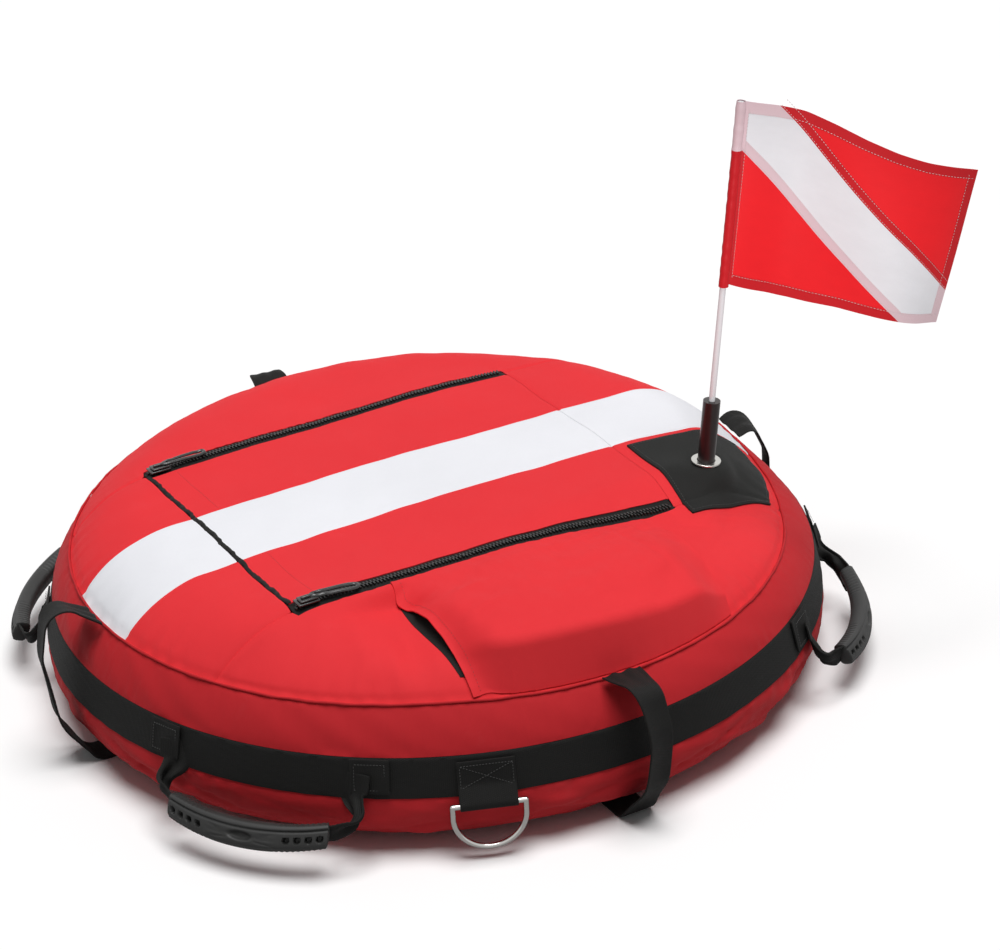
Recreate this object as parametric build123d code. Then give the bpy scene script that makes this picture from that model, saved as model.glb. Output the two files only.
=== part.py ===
"""Freediving buoy: an air ring in a fabric cover, with a zipped top flap over a compartment.

A mast with a dive flag stands in a holder on the top. Around the wall are strap handles, rubber
grips and D-rings, and webs under the base meet at a ring for the dive line.
Millimetres, +Z up. The origin is on the floor under the centre. +X runs along the white stripe
towards the mast's end, and -Y is the side with the pocket.
"""

from build123d import *
import math
import os

# Clearances
GAP = 0.3
SEAM_GAP = 0.2
OVERRUN = 60.0

# Cover outline: radius and height of each corner, from the crown down to the base
COVER_T = 2.0
TOP_Z = 203.0
SEAM_R, SEAM_Z = 374.0, 152.0
SHOULDER_W = 88.0
CROWN_R, CROWN_Z = SEAM_R - SHOULDER_W, 197.0
SIDE_MID_R, SIDE_MID_Z = 389.0, 131.0
BAND_TOP_R, BAND_TOP_Z = 398.0, 107.0
BAND_FOOT_R, BAND_FOOT_Z = 406.0, 67.0
BELLY_R, BELLY_Z = 388.0, 17.0
BASE_R, BASE_Z = 337.0, 2.3
RECESS_R, RECESS_FOOT_R, RECESS_Z = 70.0, 110.0, 10.3
PANEL_TOP_Z = 20.0

# Waist band and rim piping
BAND_PROUD = 1.0
PIPING_WIRE_R = 2.5
PIPING_LEAN = math.radians(35)

# Compartment under the flap
LINING_T = 1.5
WELL_R, WELL_Z = 165.0, 92.0
RIM_R, RIM_Z = 302.0, 186.0
LINING_FLOOR_Z = 12.8

# Top flap, stripe and zips
FLAP_LEFT_X, FLAP_HINGE_X = -243.0, 190.0
FLAP_EDGE_GAP = 0.4
STRIPE_HALF = 54.0
ZIP_Y = 176.0
ZIP_GAP = 0.2
TAPE_W = 5.0
CHAIN_W, CHAIN_UP = 2.4, 1.6
CHAIN_END = 5.0
BINDING_W, BINDING_UP = 8.0, 1.0
SLIDER_L, SLIDER_W, SLIDER_T = 20.0, 11.0, 4.0
SLIDER_X = -224.0
PULL_L, PULL_W, PULL_T = 46.0, 9.0, 2.0

# Side pocket
POCKET_LEFT_X, POCKET_RIGHT_X = -141.0, 150.0
POCKET_Y = -182.0
POCKET_T = 1.8
POCKET_INNER_IN, POCKET_INNER_UP = 12.0, 2.5
POCKET_CREST_IN, POCKET_CREST_UP = 89.0, 7.0
POCKET_RIM_IN, POCKET_RIM_UP = 12.0, 38.0
POCKET_CREST_ARC_R, POCKET_RIM_ARC_R = 90.0, 12.0
POCKET_HEM = 4.0

# Mast, holder and patch
PATCH_T = 3.0
PATCH_LEFT_X, PATCH_RIGHT_X = 196.0, 340.0
PATCH_FRONT_Y, PATCH_BACK_Y = -192.0, -66.0
PATCH_RIM_R = 358.0
MAST_X, MAST_Y = 251.0, -141.0
MAST_LEAN_DEG = 6.0
HOLDER_R, HOLDER_UP = 9.0, 70.0
BORE_FLOOR = 6.0
GROMMET_R, GROMMET_T = 15.5, 2.0
POLE_R, POLE_UP = 3.25, 396.0

# Flag
FLAG_L, FLAG_H, FLAG_T = 250.0, 197.0, 1.2
FLAG_FOOT = 200.0
SLEEVE_T, SLEEVE_CAP = 1.0, 1.2
STRIPE_TOP_SHARE, STRIPE_FLY_SHARE = 0.14, 0.22
STRIPE_FOOT_SHARE, STRIPE_HOIST_SHARE = 0.765, 0.743

# Strap handles: webbing, and the corners of its way round the wall
STRAP_W, STRAP_T = 38.0, 2.0
STRAP_START_OUT, STRAP_START_UP = 5.5, 4.0
STRAP_SHOULDER_OUT, STRAP_SHOULDER_UP = 56.0, 11.0
STRAP_REACH_OUT, STRAP_REACH_DOWN = 49.0, 3.0
STRAP_KNEE_OUT, STRAP_KNEE_DOWN = 22.0, 23.0
STRAP_FOOT_IN = 8.0
STRAP_END_OUT = 6.0
STRAP_END_R = BASE_R + STRAP_END_OUT
STRAP_RADII = (16.0, 45.0, 45.0, 18.0)
STRAP_ANGLES_DEG = {"front": 270.0, "right": 0.0, "rear": 90.0, "left": 180.0}

# Keel webs and the ring for the dive line
KEEL_W, KEEL_T = 25.0, 2.0
RING_R, RING_WIRE_R = 32.0, 2.5
KEEL_LAP_R, KEEL_LAP_END_R = 50.0, 62.0
KEEL_TURN_R = 42.0
KEEL_JOIN_R = 56.0

# D-rings and their tabs
DRING_ANGLES_DEG = {"front": -111.5, "rear": 68.5}
DRING_WIRE_R, DRING_HALF, DRING_DROP = 2.75, 34.75, 47.0
DRING_TAB_W, DRING_TAB_UP = 58.0, 42.0
DRING_UNDER, DRING_STAND = 6.0, 2.2
DRING_Z = BAND_FOOT_Z - DRING_UNDER
TAB_T = 2.0

# Grips and their tabs
GRIP_ANGLES_DEG = {
    "front_left": -142.5,
    "front_right": -37.5,
    "rear_right": 37.5,
    "rear_left": 142.5,
}
GRIP_TAB_DEG = 15.5
GRIP_TAB_W = 38.0
TAB_UNDER, TAB_BEND_UP = 1.0, 9.0
TAB_TOP_Z, TAB_FOOT_Z = BAND_TOP_Z - TAB_UNDER, BAND_FOOT_Z
TAB_BEND_Z = TAB_FOOT_Z + TAB_BEND_UP
TAB_LIP_OUT = 6.0
BEAD_R, BEAD_L = 2.6, 16.0
BEAD_OUT = 3.0
GRIP_HALF, GRIP_BOW = 87.0, 19.0
GRIP_OUT, GRIP_DROP = 50.0, 30.0
GRIP_END_RISE = 6.0
GRIP_H, GRIP_T = 25.0, 19.0
GRIP_ROUND_R = 7.0
HOLE_R, HOLE_DEEP, HOLE_PITCH, HOLE_COUNT = 3.0, 5.0, 11.0, 4
HOLE_START = 13.0
DIMPLE_L, DIMPLE_H, DIMPLE_DEEP = 34.0, 10.0, 3.0
LEG_W, LEG_T = 20.0, 6.0
LEG_ROOT_T = 2.4
LEG_MID_W, LEG_MID_T = 12.0, 14.0
LEG_MID_SHARE = 0.34


def block(x0, x1, y0, y1, z0=-OVERRUN, z1=TOP_Z + OVERRUN):
    """A box between two corners, by default through the whole height."""
    return Pos((x0 + x1) / 2, (y0 + y1) / 2, (z0 + z1) / 2) * Box(x1 - x0, y1 - y0, z1 - z0)


def window(r0, r1, z0, z1):
    """A rectangle of the half section between two radii and two heights."""
    return Pos((r0 + r1) / 2, (z0 + z1) / 2) * Rectangle(r1 - r0, z1 - z0)


def turned(section):
    """The solid of a half section turned about the vertical axis."""
    return revolve(Plane.XZ * section, Axis.Z)


def crown_fall():
    """Angle by which the top has fallen at the crown's edge."""
    return 2 * math.atan2(TOP_Z - CROWN_Z, CROWN_R)


def top_height(radius):
    """Height of the cover's top at a radius: the crown's arc, and the shoulder's beyond it."""
    if radius <= CROWN_R:
        arc_r = (CROWN_R**2 + (TOP_Z - CROWN_Z) ** 2) / (2 * (TOP_Z - CROWN_Z))
        return TOP_Z - arc_r + math.sqrt(arc_r**2 - radius**2)
    fall, drop = crown_fall(), CROWN_Z - SEAM_Z
    reach = drop * math.cos(fall) - SHOULDER_W * math.sin(fall)
    arc_r = (SHOULDER_W**2 + drop**2) / (2 * reach)
    from_centre = radius - CROWN_R + arc_r * math.sin(fall)
    return CROWN_Z - arc_r * math.cos(fall) + math.sqrt(arc_r**2 - from_centre**2)


def outline_face():
    """Half section inside the cover's outer face, run past the axis so that it can be offset."""
    fall = crown_fall()
    base_in = (BASE_R, BASE_Z)
    band_foot, band_top = (BAND_FOOT_R, BAND_FOOT_Z), (BAND_TOP_R, BAND_TOP_Z)
    seam, crown = (SEAM_R, SEAM_Z), (CROWN_R, CROWN_Z)
    under = Polyline((-OVERRUN, RECESS_Z), (RECESS_R, RECESS_Z), (RECESS_FOOT_R, BASE_Z), base_in)
    low = TangentArc(base_in, (BELLY_R, BELLY_Z), tangent=(1, 0))
    belly = low + TangentArc((BELLY_R, BELLY_Z), band_foot, tangent=low % 1)
    waist = Line(band_foot, band_top)
    side = ThreePointArc(band_top, (SIDE_MID_R, SIDE_MID_Z), seam)
    shoulder = TangentArc(crown, seam, tangent=(math.cos(fall), -math.sin(fall)))
    top = TangentArc((0, TOP_Z), crown, tangent=(1, 0))
    close = Polyline((0, TOP_Z), (-OVERRUN, TOP_Z), (-OVERRUN, RECESS_Z))
    return make_face(under + belly + waist + side + shoulder + top + close)


OUTLINE = outline_face()
HALF_R = BAND_FOOT_R + OVERRUN
HALF = window(0, HALF_R, -OVERRUN, TOP_Z + OVERRUN)


def outline_by(amount):
    """The outline grown outwards by an amount, or shrunk where it is negative."""
    return OUTLINE if amount == 0 else offset(OUTLINE, amount=amount)


def skin(outer, inner):
    """Half section between two offsets of the outline."""
    return (outline_by(outer) - outline_by(inner)) & HALF


COVER = skin(0, -COVER_T)


def well_face():
    """Half section of the compartment out to its lining's outer face."""
    wall = Line((WELL_R, LINING_FLOOR_Z), (WELL_R, WELL_Z))
    bulge = TangentArc((WELL_R, WELL_Z), (RIM_R, RIM_Z), tangent=(0, 1))
    high = TOP_Z + OVERRUN
    close = Polyline(
        (RIM_R, RIM_Z), (RIM_R, high), (-OVERRUN, high), (-OVERRUN, LINING_FLOOR_Z), (WELL_R, LINING_FLOOR_Z)
    )
    return make_face(wall + bulge + close)


WELL = well_face()


def air_tube():
    inside = outline_by(-(COVER_T + SEAM_GAP)) & HALF
    column = window(0, WELL_R + SEAM_GAP, -OVERRUN, WELL_Z)
    return turned(inside - offset(WELL, amount=SEAM_GAP) - column)


def compartment_lining():
    sheet = WELL - offset(WELL, amount=-LINING_T)
    return turned(sheet & outline_by(-(COVER_T + GAP)) & HALF)


def bottom_panel():
    return turned(COVER & window(0, BASE_R - SEAM_GAP / 2, -OVERRUN, PANEL_TOP_Z))


def side_lower():
    return turned(COVER & window(BASE_R + SEAM_GAP / 2, BAND_FOOT_R + OVERRUN, -OVERRUN, BAND_FOOT_Z))


def waist_band():
    return turned(skin(BAND_PROUD, -COVER_T) & window(CROWN_R, HALF_R, BAND_FOOT_Z, BAND_TOP_Z))


def side_upper():
    return turned(COVER & window(CROWN_R, HALF_R, BAND_TOP_Z, SEAM_Z - SEAM_GAP / 2))


def rim_piping():
    out = PIPING_WIRE_R + SEAM_GAP
    centre_r = SEAM_R + out * math.cos(PIPING_LEAN)
    centre_z = SEAM_Z + out * math.sin(PIPING_LEAN)
    return Pos(0, 0, centre_z) * Torus(centre_r, PIPING_WIRE_R)


def top_sheet(outer=0.0, inner=-COVER_T, rim_r=SEAM_R + OVERRUN):
    """The top of the cover, or a layer on it, from the centre out to a radius."""
    return turned(skin(outer, inner) & window(0, rim_r, SEAM_Z + SEAM_GAP / 2, TOP_Z + OVERRUN))


TOP = top_sheet()
FAR = SEAM_R + OVERRUN


def long_panel(side):
    """The red panel outside a zip, over the whole length, on the side with this sign of Y."""
    edge = side * ZIP_Y
    panel = TOP & block(-FAR, FAR, *sorted((edge, side * FAR)))
    tape = side * (ZIP_Y + TAPE_W)
    return panel - block(FLAP_LEFT_X, FLAP_HINGE_X, *sorted((side * STRIPE_HALF, tape)))


def end_spans():
    """The X ranges of the fixed panels at the two ends of the flap."""
    return ((-FAR, FLAP_LEFT_X - FLAP_EDGE_GAP), (FLAP_HINGE_X + FLAP_EDGE_GAP, FAR))


def end_panels():
    rows = ((-ZIP_Y, -STRIPE_HALF), (STRIPE_HALF, ZIP_Y))
    return [TOP & block(x0, x1, y0, y1) for x0, x1 in end_spans() for y0, y1 in rows]


def end_stripes():
    return [TOP & block(x0, x1, -STRIPE_HALF, STRIPE_HALF) for x0, x1 in end_spans()]


def flap_block(y0, y1):
    return block(FLAP_LEFT_X + BINDING_W, FLAP_HINGE_X - FLAP_EDGE_GAP, y0, y1)


def flap_panels():
    edge = ZIP_Y - TAPE_W
    return [TOP & flap_block(y0, y1) for y0, y1 in ((-edge, -STRIPE_HALF), (STRIPE_HALF, edge))]


def flap_stripe():
    return TOP & flap_block(-STRIPE_HALF, STRIPE_HALF)


def flap_binding():
    edge = ZIP_Y - TAPE_W
    layer = top_sheet(BINDING_UP, -COVER_T)
    return layer & block(FLAP_LEFT_X, FLAP_LEFT_X + BINDING_W, -edge, edge)


def zip_half(side, inward):
    """Tape and chain of half a zip: inward is 1 for the flap's half and -1 for the fixed half."""
    near = side * (ZIP_Y - inward * ZIP_GAP)
    tape_edge = side * (ZIP_Y - inward * TAPE_W)
    chain_edge = side * (ZIP_Y - inward * (ZIP_GAP + CHAIN_W))
    right = FLAP_HINGE_X - FLAP_EDGE_GAP
    tape = TOP & block(FLAP_LEFT_X, right, *sorted((near, tape_edge)))
    layer = top_sheet(CHAIN_UP, -COVER_T)
    span = block(FLAP_LEFT_X + CHAIN_END, right - CHAIN_END, *sorted((near, chain_edge)))
    return tape + (layer & span)


def zip_slider(side):
    """Slider and pull, lying on the chain at its closed end."""
    base = top_height(math.hypot(SLIDER_X + SLIDER_L / 2, ZIP_Y)) + CHAIN_UP + GAP
    body = fillet(Box(SLIDER_L, SLIDER_W, SLIDER_T).edges().filter_by(Axis.Z), SLIDER_W / 4)
    body = Pos(SLIDER_X, side * ZIP_Y, base + SLIDER_T / 2) * body
    pull = Box(PULL_L, PULL_W, PULL_T) - Pos(PULL_L / 4) * Box(PULL_L / 3, PULL_W / 2, SLIDER_T)
    pull = fillet(pull.edges().filter_by(Axis.Z).group_by(Axis.X)[-1], PULL_W / 3)
    at = Pos(SLIDER_X + PULL_L / 2, side * ZIP_Y, base + SLIDER_T - PULL_T / 2 + PULL_T)
    return body + at * pull


def side_pocket():
    """A bellows pocket: a bulging sheet and an outer wall, open at its left end."""
    start = (-POCKET_Y - POCKET_INNER_IN, TOP_Z + POCKET_INNER_UP)
    crest = (SEAM_R - POCKET_CREST_IN, TOP_Z + POCKET_CREST_UP)
    rim = (SEAM_R - POCKET_RIM_IN, SEAM_Z + POCKET_RIM_UP)
    foot = (SEAM_R - POCKET_HEM, SEAM_Z + POCKET_HEM)
    low = SEAM_Z - OVERRUN
    top = FilletPolyline(start, crest, rim, foot, radius=(POCKET_CREST_ARC_R, POCKET_RIM_ARC_R))
    full = make_face(top + Polyline(foot, (foot[0], low), (start[0], low), start))
    bag = full - outline_by(GAP)
    inner = bag & offset(full, amount=-POCKET_T)
    reach = block(POCKET_LEFT_X, POCKET_RIGHT_X, -FAR, POCKET_Y)
    room = block(POCKET_LEFT_X - POCKET_T, POCKET_RIGHT_X - POCKET_T, -FAR, POCKET_Y - POCKET_T)
    return (turned(bag) & reach) - (turned(inner) & room)


def mast_plane():
    """Plane across the mast where it leaves the cover, X outwards and Z along the mast."""
    azimuth = math.atan2(MAST_Y, MAST_X)
    lean = math.radians(MAST_LEAN_DEG)
    out, side = math.cos(azimuth), math.sin(azimuth)
    seat = (MAST_X, MAST_Y, top_height(math.hypot(MAST_X, MAST_Y)))
    axis = (math.sin(lean) * out, math.sin(lean) * side, math.cos(lean))
    fly = (math.cos(lean) * out, math.cos(lean) * side, -math.sin(lean))
    return Plane(origin=seat, x_dir=fly, z_dir=axis)


MAST = mast_plane()


def rod(radius, foot, top):
    """A cylinder on the mast's own Z axis."""
    return Pos(0, 0, (foot + top) / 2) * Cylinder(radius, top - foot)


def mast_patch():
    layer = top_sheet(SEAM_GAP + PATCH_T, SEAM_GAP, PATCH_RIM_R)
    patch = layer & block(PATCH_LEFT_X, PATCH_RIGHT_X, PATCH_FRONT_Y, PATCH_BACK_Y)
    return patch - MAST * rod(HOLDER_R + GAP, -OVERRUN, OVERRUN)


def mast_holder():
    foot = PATCH_T / 4
    top = PATCH_T + HOLDER_UP
    tube = rod(HOLDER_R, foot, top) - rod(POLE_R + GAP, foot + BORE_FLOOR, top + OVERRUN)
    return MAST * tube


def mast_grommet():
    seat = PATCH_T + GAP + SEAM_GAP
    ring = rod(GROMMET_R, seat, seat + GROMMET_T) - rod(HOLDER_R + GAP, -OVERRUN, OVERRUN)
    return MAST * fillet(ring.edges().group_by(Axis.Z)[-1], GROMMET_T / 3)


def mast_pole():
    return MAST * rod(POLE_R, PATCH_T / 4 + BORE_FLOOR + GAP, POLE_UP)


def flag_sleeve():
    outer_r = POLE_R + GAP + SLEEVE_T
    top = POLE_UP + GAP + SLEEVE_CAP
    tube = rod(outer_r, FLAG_FOOT, top) - rod(POLE_R + GAP, FLAG_FOOT - OVERRUN, POLE_UP + GAP)
    return MAST * tube


def flag_piece(*corners):
    """A flat piece of the flag from its corners, as fly and height shares."""
    hoist = POLE_R + GAP + SLEEVE_T + SEAM_GAP / 2
    points = [(hoist + u * FLAG_L, FLAG_FOOT + v * FLAG_H) for u, v in corners]
    face = make_face(Polyline(*points, points[0]))
    return MAST * extrude(Plane.XZ * face, amount=FLAG_T / 2, both=True)


def flag_white():
    return flag_piece(
        (0, 1), (STRIPE_TOP_SHARE, 1), (1, STRIPE_FLY_SHARE), (1, 0), (STRIPE_FOOT_SHARE, 0), (0, STRIPE_HOIST_SHARE)
    )


def flag_red():
    upper = flag_piece((STRIPE_TOP_SHARE, 1), (1, 1), (1, STRIPE_FLY_SHARE))
    lower = flag_piece((0, 0), (0, STRIPE_HOIST_SHARE), (STRIPE_FOOT_SHARE, 0))
    return [upper, lower]


def around(degrees):
    """Places a piece modelled on the +X side at an angle round the body."""
    return Rot(0, 0, degrees)


def ribbon(path, thickness, width):
    """Webbing along a path of radius and height, centred on the XZ plane."""
    face = trace(path, line_width=thickness)
    return extrude(Plane.XZ * face, amount=width / 2, both=True)


def strap_handle():
    """The webbing loop that leaves the rim seam and comes back under the base."""
    level = STRAP_T / 2
    path = FilletPolyline(
        (SEAM_R + STRAP_START_OUT, SEAM_Z + STRAP_START_UP),
        (SEAM_R + STRAP_SHOULDER_OUT, SEAM_Z + STRAP_SHOULDER_UP),
        (BAND_TOP_R + STRAP_REACH_OUT, BAND_TOP_Z + STRAP_REACH_DOWN),
        (BAND_FOOT_R + STRAP_KNEE_OUT, BAND_FOOT_Z - STRAP_KNEE_DOWN),
        (BAND_FOOT_R - STRAP_FOOT_IN, level),
        (STRAP_END_R, level),
        radius=STRAP_RADII,
    )
    return ribbon(path, STRAP_T, STRAP_W)


def ring_height():
    """Height of the line ring's wire, so that the webs' eyes round it reach the floor."""
    return KEEL_T + GAP + RING_WIRE_R


def keel_web():
    """A web from the strap's end to an eye round the line ring, folded back on itself."""
    level, centre = KEEL_T / 2, ring_height()
    turn = centre - level
    over = centre + turn
    path = Polyline((KEEL_JOIN_R, level), (RING_R, level))
    path += ThreePointArc((RING_R, level), (RING_R - turn, centre), (RING_R, over))
    path += Polyline((RING_R, over), (KEEL_TURN_R, over))
    path += Polyline((KEEL_TURN_R, over), (KEEL_LAP_R, KEEL_T + level), (KEEL_LAP_END_R, KEEL_T + level))
    eye = turned(trace(path, line_width=KEEL_T)) & block(0, KEEL_LAP_END_R, -KEEL_W / 2, KEEL_W / 2)
    web = block(KEEL_LAP_R, STRAP_END_R, -KEEL_W / 2, KEEL_W / 2, 0, KEEL_T)
    return eye + web


def line_ring():
    return Pos(0, 0, ring_height()) * Torus(RING_R, RING_WIRE_R)


def band_face_r(height):
    """Radius of the waist band's outer face at a height on it."""
    share = (height - BAND_FOOT_Z) / (BAND_TOP_Z - BAND_FOOT_Z)
    return BAND_FOOT_R + share * (BAND_TOP_R - BAND_FOOT_R) + BAND_PROUD


def dring_axis_r():
    return band_face_r(BAND_FOOT_Z) + DRING_STAND + TAB_T + GAP + DRING_WIRE_R


def dring_tab():
    """Webbing sewn flat on the band, turned round the D-ring's bar at its foot."""
    bore_r = DRING_WIRE_R + GAP
    eye_r = bore_r + TAB_T
    axis_r = dring_axis_r()
    top_z = DRING_Z + DRING_TAB_UP
    back = [(band_face_r(z) + GAP, z) for z in (top_z, BAND_FOOT_Z)]
    foot = (axis_r - eye_r, DRING_Z)
    front = [(r + TAB_T, z) for r, z in (foot, back[1], back[0])]
    plate = make_face(Polyline(back[0], back[1], foot, *front, back[0]))
    eye = Pos(axis_r, DRING_Z) * Circle(eye_r)
    section = plate + eye - Pos(axis_r, DRING_Z) * Circle(bore_r)
    return extrude(Plane.XZ * section, amount=DRING_TAB_W / 2, both=True)


def d_ring():
    """A straight bar with a wire bow hanging from its ends."""
    low = -(DRING_DROP - DRING_HALF)
    half = DRING_HALF
    bow = Polyline((-half, 0), (-half, low))
    bow += ThreePointArc((-half, low), (0, low - half), (half, low))
    bow += Polyline((half, low), (half, 0))
    wire = sweep(Plane(origin=(0, -half, 0), z_dir=(0, 0, -1)) * Circle(DRING_WIRE_R), Plane.YZ * bow)
    bar = Rot(90, 0, 0) * Cylinder(DRING_WIRE_R, DRING_HALF * 2)
    balls = [Pos(0, side * half, 0) * Sphere(DRING_WIRE_R) for side in (-1, 1)]
    return Pos(dring_axis_r(), 0, DRING_Z) * (wire + bar + balls)


def grip_tab():
    """A square of webbing on the band with a lip turned out at its foot."""
    tilt_r = [(band_face_r(z) + GAP, z) for z in (TAB_TOP_Z, TAB_BEND_Z)]
    lip = (band_face_r(TAB_FOOT_Z) + TAB_LIP_OUT, TAB_FOOT_Z)
    outer = [(r + TAB_T, z) for r, z in (lip, tilt_r[1], tilt_r[0])]
    section = make_face(Polyline(*tilt_r, lip, *outer, tilt_r[0]))
    return extrude(Plane.XZ * section, amount=GRIP_TAB_W / 2, both=True)


def grip_hinge():
    """Distance outwards and height of the line that a grip swings on, and half its span."""
    bead_r = band_face_r(TAB_FOOT_Z) + TAB_LIP_OUT + TAB_T / 2 + BEAD_OUT
    angle = math.radians(GRIP_TAB_DEG)
    return bead_r * math.cos(angle), TAB_FOOT_Z - GAP - BEAD_R, bead_r * math.sin(angle)


def grip_section():
    return RectangleRounded(GRIP_T, GRIP_H, GRIP_ROUND_R)


def grip_arc():
    """The grip's bow between its ends, in its own plane: along the wall and outwards."""
    return ThreePointArc((-GRIP_HALF, 0), (0, GRIP_BOW), (GRIP_HALF, 0))


def grip_place():
    """Where the grip's ends lie: its plane drops towards its outer side."""
    out, height, _ = grip_hinge()
    start = (out + GRIP_OUT - GRIP_BOW, 0, height - GRIP_DROP + GRIP_END_RISE)
    slope = math.atan2(GRIP_END_RISE, GRIP_BOW)
    return Plane(origin=start, x_dir=(0, -1, 0), z_dir=(math.sin(slope), 0, math.cos(slope)))


def grip_holes(arc):
    """Blind holes into the outer face near both ends, square to the bow."""
    starts = [(HOLE_START + index * HOLE_PITCH) / arc.length for index in range(HOLE_COUNT)]
    holes = []
    for share in starts + [1 - start for start in starts]:
        at, along = arc @ share, arc % share
        outwards = Vector(-along.Y, along.X, 0)
        if outwards.Y < 0:
            outwards = outwards * -1
        seat = at + outwards * (GRIP_T / 2 - HOLE_DEEP / 2 + GAP)
        holes.append(Plane(origin=seat, z_dir=outwards) * Cylinder(HOLE_R, HOLE_DEEP + GAP))
    return holes


def grip_rubber():
    """The moulded handgrip: a rounded bar bowed outwards, with holes and a thumb dimple."""
    place = grip_place()
    arc = grip_arc()
    start = Plane(origin=arc @ 0, z_dir=arc % 0, x_dir=Vector(-(arc % 0).Y, (arc % 0).X, 0))
    body = sweep(start * grip_section(), arc)
    for hole in grip_holes(arc):
        body -= hole
    dimple = Pos(0, GRIP_BOW + GRIP_T / 2, 0) * scale(
        Sphere(1.0), by=(DIMPLE_L / 2, DIMPLE_DEEP, DIMPLE_H / 2)
    )
    return place * (body - dimple)


def grip_leg(side):
    """Gathered webbing from the hinge line to one end of the rubber."""
    out, height, half = grip_hinge()
    place = grip_place()
    arc = grip_arc()
    share = 0 if side > 0 else 1
    end = place.from_local_coords(arc @ share)
    heading = place.from_local_coords(arc @ share - (arc % share) * side) - end
    end = end + heading * SEAM_GAP
    root = Vector(out, side * half, height)
    mid = root + Vector(GRIP_OUT * LEG_MID_SHARE, side * BEAD_R, -GRIP_DROP / 2)
    bead = Pos(*root) * Rot(90, 0, 0) * Cylinder(BEAD_R, BEAD_L)
    down = (mid - root).normalized()
    first = Plane(origin=root, z_dir=down, x_dir=(0, 1, 0)) * Rectangle(BEAD_L, LEG_ROOT_T)
    bend = (end - root).normalized()
    second = Plane(origin=mid, z_dir=bend, x_dir=(0, 1, 0)) * Rectangle(LEG_MID_W, LEG_MID_T)
    last = Plane(origin=end, z_dir=heading * -1, x_dir=place.z_dir.cross(heading)) * Rectangle(LEG_T, LEG_W)
    return bead + loft([first, second, last])


def save(name, shape):
    """Writes one node: a shape, or a list of solids that don't touch."""
    whole = Compound(children=shape) if isinstance(shape, list) else shape
    export_step(whole, f"parts/{name}.step")


def main():
    os.makedirs("parts", exist_ok=True)
    save("air_tube", air_tube())
    save("compartment_lining", compartment_lining())
    save("bottom_panel", bottom_panel())
    save("side_lower", side_lower())
    save("waist_band", waist_band())
    save("side_upper", side_upper())
    save("rim_piping", rim_piping())
    save("panel_front", long_panel(-1))
    save("panel_rear", long_panel(1))
    save("end_panels", end_panels())
    save("end_stripes", end_stripes())
    save("zips_fixed", [zip_half(side, -1) for side in (-1, 1)])
    save("side_pocket", side_pocket())
    save("mast_patch", mast_patch())
    save("mast_holder", mast_holder())
    save("mast_grommet", mast_grommet())
    save("flap_panels", flap_panels())
    save("flap_stripe", flap_stripe())
    save("flap_binding", flap_binding())
    save("zips_flap", [zip_half(side, 1) for side in (-1, 1)])
    save("zip_sliders", [zip_slider(side) for side in (-1, 1)])
    save("mast_pole", mast_pole())
    save("flag_sleeve", flag_sleeve())
    save("flag_white", flag_white())
    save("flag_red", flag_red())
    strap, web = strap_handle(), keel_web()
    for name, angle in STRAP_ANGLES_DEG.items():
        save(f"strap_{name}", around(angle) * strap)
    save("keel_webs", [around(angle) * web for angle in STRAP_ANGLES_DEG.values()])
    save("line_ring", line_ring())
    tab, ring = dring_tab(), d_ring()
    save("dring_tabs", [around(angle) * tab for angle in DRING_ANGLES_DEG.values()])
    for name, angle in DRING_ANGLES_DEG.items():
        save(f"dring_{name}", around(angle) * ring)
    patch, rubber = grip_tab(), grip_rubber()
    legs = [grip_leg(side) for side in (-1, 1)]
    turns = [a + side * GRIP_TAB_DEG for a in GRIP_ANGLES_DEG.values() for side in (-1, 1)]
    save("grip_tabs", [around(turn) * patch for turn in turns])
    for name, angle in GRIP_ANGLES_DEG.items():
        save(f"grip_{name}_rubber", around(angle) * rubber)
        save(f"grip_{name}_webs", [around(angle) * leg for leg in legs])


if __name__ == "__main__":
    main()
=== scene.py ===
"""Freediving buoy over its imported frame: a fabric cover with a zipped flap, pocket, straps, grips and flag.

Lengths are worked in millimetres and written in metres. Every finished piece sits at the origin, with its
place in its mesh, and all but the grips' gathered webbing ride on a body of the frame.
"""

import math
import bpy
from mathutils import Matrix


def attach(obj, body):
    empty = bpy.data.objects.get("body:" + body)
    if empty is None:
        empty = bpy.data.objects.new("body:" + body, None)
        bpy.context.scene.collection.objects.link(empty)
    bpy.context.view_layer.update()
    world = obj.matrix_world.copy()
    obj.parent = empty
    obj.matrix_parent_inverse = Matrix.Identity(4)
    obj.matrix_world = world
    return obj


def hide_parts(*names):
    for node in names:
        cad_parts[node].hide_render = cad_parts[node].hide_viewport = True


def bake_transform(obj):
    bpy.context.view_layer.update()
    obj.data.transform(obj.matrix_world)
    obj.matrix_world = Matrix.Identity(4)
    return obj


bl_info = {
    "name": "Freediving Buoy",
    "version": (1, 0, 0),
    "blender": (4, 5, 0),
    "location": "View3D > Sidebar > Buoy",
    "description": "Sews a freediving buoy over its packed frame",
    "category": "Object",
}

import bpy
import numpy as np
from mathutils import Matrix, Vector

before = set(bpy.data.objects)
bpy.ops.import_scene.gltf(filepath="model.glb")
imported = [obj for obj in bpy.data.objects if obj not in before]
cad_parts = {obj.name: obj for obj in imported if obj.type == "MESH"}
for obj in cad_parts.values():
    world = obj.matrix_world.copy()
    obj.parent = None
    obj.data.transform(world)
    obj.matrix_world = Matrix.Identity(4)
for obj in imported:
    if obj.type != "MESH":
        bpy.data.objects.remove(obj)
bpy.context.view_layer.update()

MM = 0.001

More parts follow.
